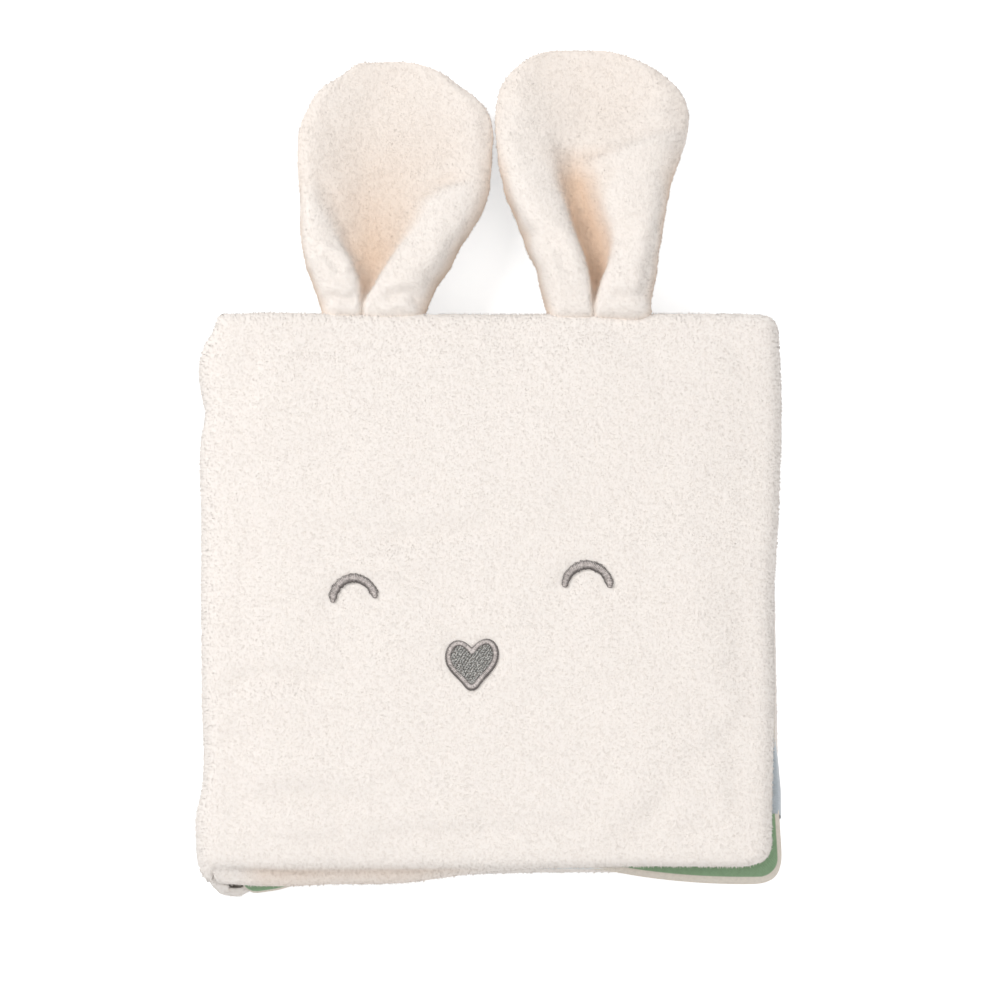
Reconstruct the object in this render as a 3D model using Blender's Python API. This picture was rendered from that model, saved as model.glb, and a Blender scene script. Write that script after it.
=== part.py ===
"""A crinkle cloth book with a plush cover: a square book that lies closed, face up.

Metres, +Z up. The origin is the middle of the flat underside of the back cover. The spine is on the
-X side, the two ears point along +Y and the embroidered face looks up.
"""

import math

import bmesh
import bpy
import numpy as np
from mathutils import Matrix, Vector

# Covers: padded panels, square to the eye.
COVER_WIDTH = 0.145
COVER_HEIGHT = 0.150
BACK_COVER_HEIGHT = 0.145
COVER_CORNER = 0.007
COVER_DRAW_IN = 0.0005
COVER_CROWN = 0.0014
COVER_CROWN_RUN = 0.030
EDGE_ROLL = 0.003
PLUSH_WALL = 0.0025
COVER_WADDING = 0.0033
FILM = 0.00025
LINING = 0.0006
LINING_INSET = 0.0014
RIM_WIDTH = 0.0018
REST_CUT = 0.0005

# Leaf: one padded page between the covers.
LEAF_HEIGHT = 0.149
LEAF_OVERHANG = 0.001
LEAF_DROP = 0.0005
LEAF_WALL = 0.0005
LEAF_WADDING = 0.00155
LEAF_ROLL = 0.0025

# Spine: a plush strip as high as the closed book, and the two fold lines.
SPINE_HEIGHT = 0.024
SPINE_LENGTH = 0.147
SPINE_THICKNESS = 0.004
SPINE_BULGE = 0.0008
HINGE_MARGIN = 0.004
SPINE_LIP_DROP = 0.0022
STACK_AIR = 0.0006

# Binding tape and its stitches.
TAPE_THICKNESS = 0.0014
TAPE_LENGTH = 0.140
THREAD = 0.0006
STITCH = 0.006

# Ribbon tag in the leaf's right seam.
RIBBON_WIDTH = 0.022
RIBBON_LEAD = 0.0004
RIBBON_BEND = 0.0018
RIBBON_DROP = 0.0050
RIBBON = 0.0005
RIBBON_BORE = 0.0006
RIBBON_Y = -0.0475

# Ears: two layers of plush, rolled forward at the sides and sewn into the top seam.
EAR_LENGTH = 0.0745
EAR_WIDTH = 0.052
EAR_WALL = 0.002
EAR_OFFSET = 0.0034
EAR_BASE_RADIUS = 0.0033
EAR_ROLL_RADIUS = 0.0045
EAR_LIP = 0.003
EAR_TAB_WIDTH = 0.024
EAR_TAB_RADIUS = 0.0013
EAR_TAB_GAP = 0.0006
EAR_SEAM_OUT = 0.002
EAR_FOLD_OUT = 0.0022
EAR_FOLD_RISE = 0.0010
LEFT_EAR_X = -0.0334
RIGHT_EAR_X = 0.0270
RIGHT_EAR_LENGTH = 0.0775
FLOOR_CLEARANCE = 0.0003

# Embroidered face: two closed eyes and a heart nose.
LEFT_EYE = (-0.0377, 0.0011)
RIGHT_EYE = (0.0235, 0.0050)
NOSE = (-0.0069, -0.0196)
EYE_WIDTH = 0.0134
EYE_HEIGHT = 0.0080
EYE_STROKE = 0.0022
NOSE_WIDTH = 0.0142
NOSE_HEIGHT = 0.0138
NOSE_BORDER = 0.0013
STITCH_RISE = 0.0007
FACE_TILT = math.radians(3.4)

# Clearance between pieces that touch.
GAP = 0.0003

# Edges sharper than this stay sharp.
SHARP_ANGLE = math.radians(40)

# Steps of curves and rings.
SIDE_STEPS = 8
CORNER_STEPS = 4
ROLL_STEPS = 6
EYE_STEPS = 14
HEART_STEPS = 28
FOLD_STEPS = 4
EAR_RINGS = 15

# Sizes that follow from those above.
COVER_THICKNESS = PLUSH_WALL + COVER_WADDING + FILM + LINING + 3 * GAP
BACK_COVER_THICKNESS = COVER_THICKNESS - REST_CUT
LEAF_THICKNESS = 2 * LEAF_WALL + LEAF_WADDING + FILM + 3 * GAP
LEAF_WIDTH = COVER_WIDTH + LEAF_OVERHANG
HINGE_X = -COVER_WIDTH / 2 - HINGE_MARGIN
LEAF_AXIS_Z = SPINE_HEIGHT / 2
FORE_EDGE = HINGE_MARGIN + COVER_WIDTH
LEAF_FORE_Z = BACK_COVER_THICKNESS + STACK_AIR + LEAF_THICKNESS / 2
COVER_FORE_Z = LEAF_FORE_Z + LEAF_THICKNESS / 2 + STACK_AIR + COVER_THICKNESS
LEAF_TILT = math.asin((LEAF_AXIS_Z - LEAF_FORE_Z) / FORE_EDGE)
COVER_TILT = math.asin((SPINE_HEIGHT - COVER_FORE_Z) / FORE_EDGE)
COVER_MIDDLE_X = HINGE_MARGIN + COVER_WIDTH / 2
LINING_TOP = -COVER_THICKNESS + LINING
RIM_Z = LINING_TOP + GAP
EDGE_TOP = -COVER_CROWN
EDGE_MIDDLE = (EDGE_TOP + RIM_Z) / 2
EAR_LAYERS = EAR_WALL + GAP / 2

# Ear outlines, seen from the front: along the ear from the seam (0) to the tip (1), the reach of
# the left and right sides from the middle of the seam as shares of EAR_WIDTH, how far each side is
# rolled over as a share of a half turn, and where each rolled lip ends, as shares of EAR_WIDTH again.
LEFT_EAR_SHARES = (
    # along, left, right, left turn, right turn, left lip end, right lip end
    (0.00, -0.260, 0.260, 1.00, 1.00, -0.037, -0.013),
    (0.10, -0.290, 0.310, 1.00, 1.00, -0.042, -0.008),
    (0.20, -0.340, 0.370, 1.00, 1.00, -0.085, 0.055),
    (0.31, -0.370, 0.460, 0.95, 1.00, -0.170, 0.160),
    (0.42, -0.385, 0.530, 0.82, 1.00, -0.235, 0.207),
    (0.50, -0.385, 0.575, 0.70, 0.92, -0.270, 0.250),
    (0.57, -0.380, 0.595, 0.58, 0.60, -0.300, 0.420),
    (0.66, -0.380, 0.605, 0.46, 0.36, -0.300, 0.500),
    (0.76, -0.365, 0.610, 0.34, 0.22, -0.300, 0.500),
    (0.85, -0.325, 0.530, 0.22, 0.14, -0.300, 0.500),
    (0.90, -0.265, 0.455, 0.18, 0.12, -0.250, 0.450),
    (0.96, -0.155, 0.345, 0.12, 0.09, -0.150, 0.350),
    (1.00, -0.025, 0.225, 0.08, 0.08, 0.000, 0.200),
)
RIGHT_EAR_SHARES = (
    (0.00, -0.255, 0.255, 1.00, 1.00, -0.037, -0.013),
    (0.10, -0.295, 0.260, 1.00, 1.00, -0.037, -0.008),
    (0.20, -0.340, 0.285, 1.00, 1.00, -0.068, 0.020),
    (0.31, -0.400, 0.315, 1.00, 0.95, -0.120, 0.110),
    (0.42, -0.460, 0.340, 1.00, 0.80, -0.170, 0.200),
    (0.50, -0.495, 0.365, 1.00, 0.66, -0.185, 0.300),
    (0.57, -0.520, 0.400, 0.98, 0.54, -0.195, 0.300),
    (0.66, -0.525, 0.435, 0.92, 0.42, -0.225, 0.300),
    (0.76, -0.525, 0.445, 0.76, 0.28, -0.280, 0.300),
    (0.85, -0.505, 0.395, 0.50, 0.17, -0.340, 0.300),
    (0.90, -0.480, 0.330, 0.34, 0.13, -0.370, 0.250),
    (0.96, -0.410, 0.210, 0.20, 0.10, -0.350, 0.150),
    (1.00, -0.290, 0.000, 0.12, 0.08, -0.250, 0.000),
)
LEAST_CORNER_SHARE = 0.25
DRAW_IN_FADE_SHARE = 0.25
EAR_DROOP_POWER_SHARE = 1.4
EAR_STEP_POWER_SHARE = 1.25
HEART_SHARES = (0.765, -0.294, -0.118, -0.059)
STITCH_GAP_SHARE = 0.35


def material(name, color, roughness):
    """A plain finish with this colour and roughness."""
    made = bpy.data.materials.new(name)
    made.use_nodes = True
    shader = made.node_tree.nodes["Principled BSDF"]
    shader.inputs["Base Color"].default_value = (*color, 1.0)
    shader.inputs["Roughness"].default_value = roughness
    shader.inputs["Metallic"].default_value = 0.0
    return made


def axis_empty(name, place, tilt, parent=None):
    """An empty on a hinge line, turned about Y by the tilt of what it carries."""
    made = bpy.data.objects.new(name, None)
    bpy.context.scene.collection.objects.link(made)
    made.parent = parent
    made.location = place
    made.rotation_euler = (0.0, tilt, 0.0)
    return made


def place_mesh(name, bm, finish, parent, location=(0.0, 0.0, 0.0), smooth=True):
    """Turns a finished bmesh into an object with its faces out."""
    bmesh.ops.recalc_face_normals(bm, faces=bm.faces)
    if bm.calc_volume(signed=True) < 0:
        bmesh.ops.reverse_faces(bm, faces=bm.faces)
    mesh = bpy.data.meshes.new(name)
    bm.to_mesh(mesh)
    bm.free()
    mesh.materials.append(finish)
    if smooth:
        mesh.shade_smooth()
        mesh.set_sharp_from_angle(angle=SHARP_ANGLE)
    made = bpy.data.objects.new(name, mesh)
    bpy.context.scene.collection.objects.link(made)
    made.parent = parent
    made.location = location
    return made


def panel_ring(width, height, corner, draw_in, inset, z):
    """One closed ring of a panel: a rounded rectangle whose sides pull in between its corners."""
    half_x = width / 2 - inset
    half_y = height / 2 - inset
    radius = max(corner - inset, corner * LEAST_CORNER_SHARE)
    pull = draw_in * max(0.0, 1.0 - inset / (DRAW_IN_FADE_SHARE * min(width, height)))
    ring = []
    for quarter in range(4):
        # The straight side that runs up to this corner, then the corner.
        across, along = (half_x, half_y) if quarter % 2 == 0 else (half_y, half_x)
        for step in range(SIDE_STEPS):
            share = -1.0 + 2.0 * step / SIDE_STEPS
            point = (across - pull * (1.0 - share * share), share * (along - radius))
            ring.append(turned(point, quarter, z))
        for step in range(CORNER_STEPS):
            angle = math.pi / 2 * step / CORNER_STEPS
            point = (
                across - radius + radius * math.cos(angle),
                along - radius + radius * math.sin(angle),
            )
            ring.append(turned(point, quarter, z))
    return ring


def turned(point, quarter, z):
    """The point turned by a number of quarter turns, at this height."""
    x, y = point
    for _ in range(quarter):
        x, y = -y, x
    return Vector((x, y, z))


def ring_solid(rings):
    """A closed body through rings of as many points, flat at its two ends."""
    bm = bmesh.new()
    loops = [[bm.verts.new(point) for point in ring] for ring in rings]
    count = len(loops[0])
    for lower, upper in zip(loops, loops[1:]):
        for i in range(count):
            j = (i + 1) % count
            bm.faces.new((lower[i], lower[j], upper[j], upper[i]))
    bm.faces.new(loops[0])
    bm.faces.new(loops[-1])
    return bm


def half_roll(roll, low, high, steps):
    """Rows of (inset, z) round a rolled edge, from its low side to its high side."""
    middle, half = (low + high) / 2, (high - low) / 2
    rows = []
    for step in range(steps + 1):
        angle = math.pi * step / steps
        rows.append((roll * (1 - math.sin(angle)), middle - half * math.cos(angle)))
    return rows


def cover_rows(top_cut):
    """Rows of (inset, z) of a cover's plush, open below, from the outer top to the inner ceiling."""
    top = -top_cut
    flat_inset = COVER_CROWN_RUN * math.sqrt(1 - (COVER_CROWN - top_cut) / COVER_CROWN)
    flat_inset = COVER_CROWN_RUN - flat_inset if top_cut else COVER_CROWN_RUN
    rows = [(flat_inset, top)]
    if not top_cut:
        shoulder = (COVER_CROWN_RUN + EDGE_ROLL) / 2
        rows.append((shoulder, -COVER_CROWN * (1 - shoulder / COVER_CROWN_RUN) ** 2))
    rows += reversed(half_roll(EDGE_ROLL, RIM_Z, EDGE_TOP, ROLL_STEPS))
    inner = EDGE_ROLL + RIM_WIDTH
    ceiling = -PLUSH_WALL
    rows.append((inner, RIM_Z))
    rows.append((inner, EDGE_MIDDLE - COVER_CROWN))
    rows.append((COVER_CROWN_RUN, ceiling))
    return rows


def panel_solid(width, height, rows, facing):
    """A body that follows rows of (inset, z) round a panel, facing up (1) or down (-1)."""
    rings = [
        panel_ring(width, height, COVER_CORNER, COVER_DRAW_IN, inset, facing * z)
        for inset, z in rows
    ]
    return ring_solid(rings)


def padded_cover(side, height, finishes, parent, location, facing, top_cut):
    """Plush outside, wadding, crinkle film and a lining that closes it from the inside."""
    plush, wadding, film, lining = finishes
    inner = EDGE_ROLL + RIM_WIDTH + GAP
    wadding_top = -PLUSH_WALL - GAP
    wadding_low = wadding_top - COVER_WADDING
    film_top = wadding_low - GAP
    wadding_side = EDGE_MIDDLE - COVER_CROWN - GAP
    parts = (
        ("plush", plush, cover_rows(top_cut)),
        (
            "wadding",
            wadding,
            [(COVER_CROWN_RUN, wadding_top), (inner, wadding_side), (inner, wadding_low)],
        ),
        ("crinkle_film", film, [(inner, film_top), (inner, film_top - FILM)]),
        ("lining", lining, [(LINING_INSET, LINING_TOP), (LINING_INSET, -COVER_THICKNESS)]),
    )
    for part, finish, rows in parts:
        bm = panel_solid(COVER_WIDTH, height, rows, facing)
        place_mesh(f"{side}_{part}", bm, finish, parent, location)


def leaf_print_rows():
    """Rows of one printed face of the leaf: a shallow tray whose rim stops at the seam."""
    top = LEAF_THICKNESS / 2
    seam = GAP / 2
    steps = ROLL_STEPS // 2
    outer, inner = [], []
    for step in range(steps + 1):
        angle = math.pi / 2 * step / steps
        outer.append((LEAF_ROLL * (1 - math.cos(angle)), seam + (top - seam) * math.sin(angle)))
        inner_top = top - LEAF_WALL
        inner.append(
            (
                LEAF_WALL + (LEAF_ROLL - LEAF_WALL) * (1 - math.cos(angle)),
                seam + (inner_top - seam) * math.sin(angle),
            )
        )
    return list(reversed(outer)) + inner


def make_leaf(finishes, parent):
    """The leaf: two printed faces, wadding and crinkle film, all round the leaf's middle plane."""
    front, back, wadding, film = finishes
    location = (HINGE_MARGIN + LEAF_WIDTH / 2, -LEAF_DROP, 0.0)
    inset = LEAF_ROLL + LEAF_WALL + GAP
    wadding_top = LEAF_THICKNESS / 2 - LEAF_WALL - GAP
    film_top = wadding_top - LEAF_WADDING - GAP
    parts = (
        ("leaf_front_print", front, leaf_print_rows(), 1),
        ("leaf_back_print", back, leaf_print_rows(), -1),
        ("leaf_wadding", wadding, [(inset, wadding_top), (inset, wadding_top - LEAF_WADDING)], 1),
        ("leaf_crinkle_film", film, [(inset, film_top), (inset, film_top - FILM)], 1),
    )
    for name, finish, rows, facing in parts:
        bm = panel_solid(LEAF_WIDTH, LEAF_HEIGHT, rows, facing)
        place_mesh(name, bm, finish, parent, location)


def extruded(outline, low, high):
    """A body with this outline of (x, z) between two places along Y."""
    return ring_solid([[Vector((x, y, z)) for x, z in outline] for y in (low, high)])


def spine_outline():
    """The upper half of the spine strip in section, about the fold line at its middle height."""
    half = SPINE_THICKNESS / 2
    top = SPINE_HEIGHT / 2
    foot = GAP / 2
    lip = HINGE_MARGIN - GAP
    lip_top = top - SPINE_LIP_DROP / 2
    lip_low = top - COVER_THICKNESS + SPINE_LIP_DROP / 2
    corner = SPINE_THICKNESS
    outline = [(-half, foot), (-half - SPINE_BULGE, (top - corner) / 2)]
    for step in range(FOLD_STEPS + 1):
        angle = math.pi / 2 * step / FOLD_STEPS
        outline.append(
            (
                -half + corner * (1 - math.cos(angle)),
                lip_top - corner + corner * math.sin(angle),
            )
        )
    outline += [(lip, lip_top - SPINE_LIP_DROP / 2), (lip, lip_low), (half, lip_low), (half, foot)]
    return outline


def make_spine(finish, book, leaf_axis):
    """The plush spine strip, in two halves that meet where the leaf is sewn to it."""
    low, high = -SPINE_LENGTH / 2, SPINE_LENGTH / 2
    upper = spine_outline()
    cut = LEAF_AXIS_Z - REST_CUT
    lower = [(x, -min(z, cut)) for x, z in upper]
    unturned = Matrix.Rotation(-LEAF_TILT, 4, "Y")
    front = extruded(upper, low, high)
    bmesh.ops.transform(front, matrix=unturned, verts=front.verts)
    place_mesh("spine_front_half", front, finish, leaf_axis)
    place_mesh(
        "spine_back_half", extruded(lower, low, high), finish, book, (HINGE_X, 0.0, LEAF_AXIS_Z)
    )


def make_binding(tape, thread, leaf_axis):
    """The tape between the spine's inner face and the leaf, and the line of stitches on it."""
    near = SPINE_THICKNESS / 2 + GAP + TAPE_THICKNESS * math.sin(LEAF_TILT)
    far = HINGE_MARGIN - GAP
    half = TAPE_THICKNESS / 2
    outline = [(near, -half), (far, -half), (far, half), (near, half)]
    place_mesh(
        "leaf_binding_tape",
        extruded(outline, -TAPE_LENGTH / 2, TAPE_LENGTH / 2),
        tape,
        leaf_axis,
        smooth=False,
    )
    count = int((TAPE_LENGTH - STITCH) / STITCH)
    start = -count * STITCH / 2
    line = bpy.data.curves.new("binding_stitching", "CURVE")
    line.dimensions = "3D"
    line.bevel_depth = THREAD / 2
    line.bevel_resolution = 0
    line.use_fill_caps = True
    spline = line.splines.new("POLY")
    spline.points.add(2 * count - 1)
    low = half + GAP + THREAD / 2
    crest = low + THREAD * STITCH_GAP_SHARE
    middle = (near + far) / 2
    for i in range(count):
        for end, z in ((0, low), (1, crest)):
            along = start + (i + end / 2) * STITCH
            spline.points[2 * i + end].co = (middle, along, z, 1.0)
    line.materials.append(thread)
    made = bpy.data.objects.new("binding_stitching", line)
    bpy.context.scene.collection.objects.link(made)
    made.parent = leaf_axis


def ribbon_loop(start, reach):
    """The bent, doubled ribbon in section, this far out from its middle surface on both sides."""
    bend_x = start + RIBBON_LEAD
    fold_x = bend_x + RIBBON_BEND
    quarter = [math.pi / 2 * step / FOLD_STEPS for step in range(FOLD_STEPS + 1)]
    sides = []
    for out in (RIBBON_BEND + reach, RIBBON_BEND - reach):
        sides.append([(bend_x + out * math.sin(a), out * math.cos(a) - RIBBON_BEND) for a in quarter])
    fold = []
    for step in range(ROLL_STEPS + 1):
        angle = -math.pi * step / ROLL_STEPS
        fold.append((fold_x + reach * math.cos(angle), reach * math.sin(angle) - RIBBON_DROP))
    return [(start, reach), *sides[0], *fold, *reversed(sides[1]), (start, -reach)]


def make_ribbon(finish, leaf_axis):
    """A satin ribbon folded once and hanging down, with its two ends in the leaf's fore-edge seam."""
    start = HINGE_MARGIN + LEAF_WIDTH + GAP
    inner = RIBBON_BORE / 2
    outline = ribbon_loop(start, inner + RIBBON) + ribbon_loop(start, inner)[::-1]
    low = RIBBON_Y - RIBBON_WIDTH / 2
    bm = extruded(outline, low, low + RIBBON_WIDTH)
    place_mesh("ribbon_tag", bm, finish, leaf_axis)


def side_section(reach, turn, edge, radius):
    """Points (out, up, bend) of one side of an ear's section, from its middle out to the lip."""
    angle = math.pi * turn
    rolled = max(0.0, 2 * turn - 1)
    bulge = radius * math.sin(min(angle, math.pi / 2))
    full = reach - radius - edge
    lip = EAR_LIP + (full - EAR_LIP) * rolled
    start = reach - bulge - lip * max(0.0, math.cos(angle))
    points = [(start * share, 0.0, 0.0) for share in (0.0, 0.5, 1.0)]
    for step in range(1, FOLD_STEPS + 1):
        bend = angle * step / FOLD_STEPS
        points.append((start + radius * math.sin(bend), radius * (1 - math.cos(bend)), bend))
    end_x, end_z, _ = points[-1]
    for share in (0.5, 1.0):
        run = lip * share
        points.append((end_x + run * math.cos(angle), end_z + run * math.sin(angle), angle))
    return points


def ear_section(row, length, droop, offset):
    """One section of an ear layer: points of its middle surface, moved along their normals."""
    along, left, right, left_turn, right_turn, left_edge, right_edge = row
    radius = EAR_BASE_RADIUS + (EAR_ROLL_RADIUS - EAR_BASE_RADIUS) * min(1.0, 2 * along)
    middle = (left + right) / 2 * EAR_WIDTH
    half = (right - left) / 2 * EAR_WIDTH - EAR_LAYERS
    y = EAR_OFFSET + along * length
    base = -EAR_BASE_RADIUS - droop * along**EAR_DROOP_POWER_SHARE
    left_side = side_section(half, left_turn, middle - left_edge * EAR_WIDTH, radius)
    right_side = side_section(half, right_turn, right_edge * EAR_WIDTH - middle, radius)
    points = []
    for side, found in ((-1, reversed(left_side)), (1, right_side[1:])):
        for out, up, bend in found:
            x = middle + side * (out - offset * math.sin(bend))
            points.append(Vector((x, y, base + up + offset * math.cos(bend))))
    return points


def ear_rows(table):
    """The ear's table, read at closer steps towards the tip."""
    table = np.array(table)
    steps = np.linspace(0.0, 1.0, EAR_RINGS)
    along = 1.0 - (1.0 - steps) ** EAR_STEP_POWER_SHARE
    columns = [np.interp(along, table[:, 0], column) for column in table.T[1:]]
    return [tuple(map(float, row)) for row in zip(along, *columns)]


def grid_solid(under, over):
    """A closed body between two grids of points that face each other."""
    bm = bmesh.new()
    low = [[bm.verts.new(point) for point in row] for row in under]
    high = [[bm.verts.new(point) for point in row] for row in over]
    rows, columns = len(low), len(low[0])
    for i in range(rows - 1):
        for j in range(columns - 1):
            bm.faces.new((low[i][j], low[i + 1][j], low[i + 1][j + 1], low[i][j + 1]))
            bm.faces.new((high[i][j], high[i][j + 1], high[i + 1][j + 1], high[i + 1][j]))
    for i in range(rows - 1):
        bm.faces.new((low[i][0], high[i][0], high[i + 1][0], low[i + 1][0]))
        bm.faces.new((low[i][-1], low[i + 1][-1], high[i + 1][-1], high[i][-1]))
    for j in range(columns - 1):
        bm.faces.new((low[0][j], low[0][j + 1], high[0][j + 1], high[0][j]))
        bm.faces.new((low[-1][j], high[-1][j], high[-1][j + 1], low[-1][j + 1]))
    return bm


def make_ear(side, table, place_x, length, finishes, cover_axis):
    """One ear, which folds on the crease just past the seam tab that the cover holds it by."""
    plush, inner_plush, tab_finish = finishes
    seam_y = COVER_HEIGHT / 2 + EAR_SEAM_OUT
    local_x = place_x - HINGE_X
    seam_z = SPINE_HEIGHT - local_x * math.sin(COVER_TILT) + EDGE_MIDDLE
    droop = seam_z - EAR_BASE_RADIUS - EAR_LAYERS - FLOOR_CLEARANCE
    seam_place = (local_x, seam_y, EDGE_MIDDLE)
    fold_place = (local_x, seam_y + EAR_FOLD_OUT, EDGE_MIDDLE + EAR_FOLD_RISE)
    from_fold = (0.0, -EAR_FOLD_OUT, -EAR_FOLD_RISE)
    axis = axis_empty(f"{side}_ear_axis", fold_place, -COVER_TILT, cover_axis)
    rows = ear_rows(table)
    layers = (
        ("back", plush, -EAR_LAYERS, -GAP / 2),
        ("front", inner_plush, GAP / 2, EAR_LAYERS),
    )
    for layer, finish, low, high in layers:
        under = [ear_section(row, length, droop, low) for row in rows]
        over = [ear_section(row, length, droop, high) for row in rows]
        bm = grid_solid(under, over)
        place_mesh(f"{side}_ear_{layer}_plush", bm, finish, axis, from_fold)
    nose = EAR_OFFSET - EAR_TAB_GAP - EAR_TAB_RADIUS
    outline = [(-EAR_SEAM_OUT + GAP, -EAR_TAB_RADIUS)]
    for step in range(ROLL_STEPS + 1):
        angle = -math.pi / 2 + math.pi * step / ROLL_STEPS
        outline.append(
            (nose + EAR_TAB_RADIUS * math.cos(angle), EAR_TAB_RADIUS * math.sin(angle))
        )
    outline.append((-EAR_SEAM_OUT + GAP, EAR_TAB_RADIUS))
    half = EAR_TAB_WIDTH / 2
    rings = [[Vector((x, y, z)) for y, z in outline] for x in (-half, half)]
    place_mesh(f"{side}_ear_seam_tab", ring_solid(rings), tab_finish, cover_axis, seam_place)


def stroke_solid(line, width):
    """A raised stroke along a line of (x, y), crowned across like satin stitch."""
    rings = []
    half = width / 2
    crest = GAP + STITCH_RISE
    for i, (x, y) in enumerate(line):
        before, after = line[max(0, i - 1)], line[min(len(line) - 1, i + 1)]
        along = Vector((after[0] - before[0], after[1] - before[1])).normalized()
        side = Vector((-along.y, along.x))
        ring = []
        for across, z in ((-half, GAP), (-half / 2, crest), (half / 2, crest), (half, GAP)):
            ring.append(Vector((x + side.x * across, y + side.y * across, z)))
        rings.append(ring)
    return ring_solid(rings)


def eye_line():
    """The closed eye: an arch whose feet run nearly straight down."""
    half = (EYE_WIDTH - EYE_STROKE) / 2
    rise = EYE_HEIGHT - EYE_STROKE / 2
    line = []
    for step in range(EYE_STEPS + 1):
        angle = math.pi * (1 - step / EYE_STEPS)
        line.append((half * math.cos(angle), rise * math.sin(angle) - rise / 2))
    return line


def heart_outline(width, height):
    """The heart nose as (x, y) points, tip down, centred on its height."""
    angles = [2 * math.pi * step / HEART_STEPS for step in range(HEART_STEPS)]
    rises = [
        sum(share * math.cos((i + 1) * angle) for i, share in enumerate(HEART_SHARES))
        for angle in angles
    ]
    low, top = min(rises), max(rises)
    return [
        (width / 2 * math.sin(angle) ** 3, height * ((rise - low) / (top - low) - 0.5))
        for angle, rise in zip(angles, rises)
    ]


def face_point(place, parent_x):
    """A place on the face, from the middle of the cover, in the cover's own frame."""
    return (parent_x + place[0], place[1], 0.0)


def make_face(thread, fill, cover_axis):
    """Two arched eyes and a heart nose, raised on the plush."""
    for side, place in (("left", LEFT_EYE), ("right", RIGHT_EYE)):
        made = place_mesh(
            f"{side}_eye_stitching",
            stroke_solid(eye_line(), EYE_STROKE),
            thread,
            cover_axis,
            face_point(place, COVER_MIDDLE_X),
        )
        made.rotation_euler = (0.0, 0.0, FACE_TILT)
    outer = heart_outline(NOSE_WIDTH, NOSE_HEIGHT)
    shrink = 2 * NOSE_BORDER
    inner = heart_outline(NOSE_WIDTH - shrink, NOSE_HEIGHT - 2 * shrink)
    fill_shrink = shrink + 2 * GAP
    filled = heart_outline(NOSE_WIDTH - fill_shrink, NOSE_HEIGHT - 2 * fill_shrink)
    rows = (
        [(x, y, GAP) for x, y in outer],
        [(x, y, GAP + STITCH_RISE) for x, y in outer],
        [(x, y, GAP + STITCH_RISE) for x, y in inner],
        [(x, y, GAP) for x, y in inner],
    )
    border = bmesh.new()
    loops = [[border.verts.new(point) for point in row] for row in rows]
    for lower, upper in zip(loops, loops[1:] + loops[:1]):
        for i in range(HEART_STEPS):
            j = (i + 1) % HEART_STEPS
            border.faces.new((lower[i], lower[j], upper[j], upper[i]))
    solids = (
        ("nose_border_stitching", border, thread),
        (
            "nose_fill_stitching",
            ring_solid([[Vector((x, y, z)) for x, y in filled] for z in (GAP, GAP + STITCH_RISE)]),
            fill,
        ),
    )
    for name, bm, finish in solids:
        made = place_mesh(name, bm, finish, cover_axis, face_point(NOSE, COVER_MIDDLE_X), False)
        made.rotation_euler = (0.0, 0.0, FACE_TILT)


for old in list(bpy.data.objects):
    bpy.data.objects.remove(old)

plush = material("cream_plush", (0.90, 0.84, 0.78), 0.95)
inner_plush = material("ear_inner_plush", (0.90, 0.83, 0.76), 0.95)
lining = material("lining_print", (0.80, 0.80, 0.78), 0.85)
wadding = material("wadding", (0.92, 0.92, 0.90), 0.95)
film = material("crinkle_film", (0.85, 0.87, 0.88), 0.35)
leaf_front = material("leaf_front_print", (0.20, 0.33, 0.20), 0.80)
leaf_back = material("leaf_back_print", (0.55, 0.60, 0.63), 0.80)
tape = material("binding_tape", (0.83, 0.77, 0.69), 0.85)
satin = material("satin_ribbon", (0.48, 0.52, 0.55), 0.35)
thread = material("grey_thread", (0.30, 0.28, 0.28), 0.55)
dark_thread = material("dark_grey_thread", (0.16, 0.17, 0.17), 0.55)
seam_thread = material("seam_thread", (0.86, 0.81, 0.75), 0.60)

book = axis_empty("book", (0.0, 0.0, 0.0), 0.0)
leaf_axis = axis_empty("leaf_axis", (HINGE_X, 0.0, LEAF_AXIS_Z), LEAF_TILT)
cover_axis = axis_empty("cover_axis", (HINGE_X, 0.0, SPINE_HEIGHT), COVER_TILT)

padded_cover(
    "back_cover",
    BACK_COVER_HEIGHT,
    (plush, wadding, film, lining),
    book,
    (0.0, 0.0, -REST_CUT),
    -1,
    REST_CUT,
)
padded_cover(
    "front_cover",
    COVER_HEIGHT,
    (plush, wadding, film, lining),
    cover_axis,
    (COVER_MIDDLE_X, 0.0, 0.0),
    1,
    0.0,
)
make_leaf((leaf_front, leaf_back, wadding, film), leaf_axis)
make_spine(plush, book, leaf_axis)
make_binding(tape, seam_thread, leaf_axis)
make_ribbon(satin, leaf_axis)
make_ear("left", LEFT_EAR_SHARES, LEFT_EAR_X, EAR_LENGTH, (plush, inner_plush, plush), cover_axis)
make_ear(
    "right", RIGHT_EAR_SHARES, RIGHT_EAR_X, RIGHT_EAR_LENGTH, (plush, inner_plush, plush), cover_axis
)
make_face(thread, dark_thread, cover_axis)
bpy.context.view_layer.update()
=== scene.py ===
"""The looks of the crinkle cloth book: plush covers, a printed leaf, two ears and a stitched face.

Metres, +Z up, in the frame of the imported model. The book lies closed on its back cover, face up,
with its spine at -X, its ears along +Y and its fore-edge at +X.
"""

import math

import bmesh
import bpy
import numpy as np
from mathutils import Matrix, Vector, noise
from mathutils.bvhtree import BVHTree


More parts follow.
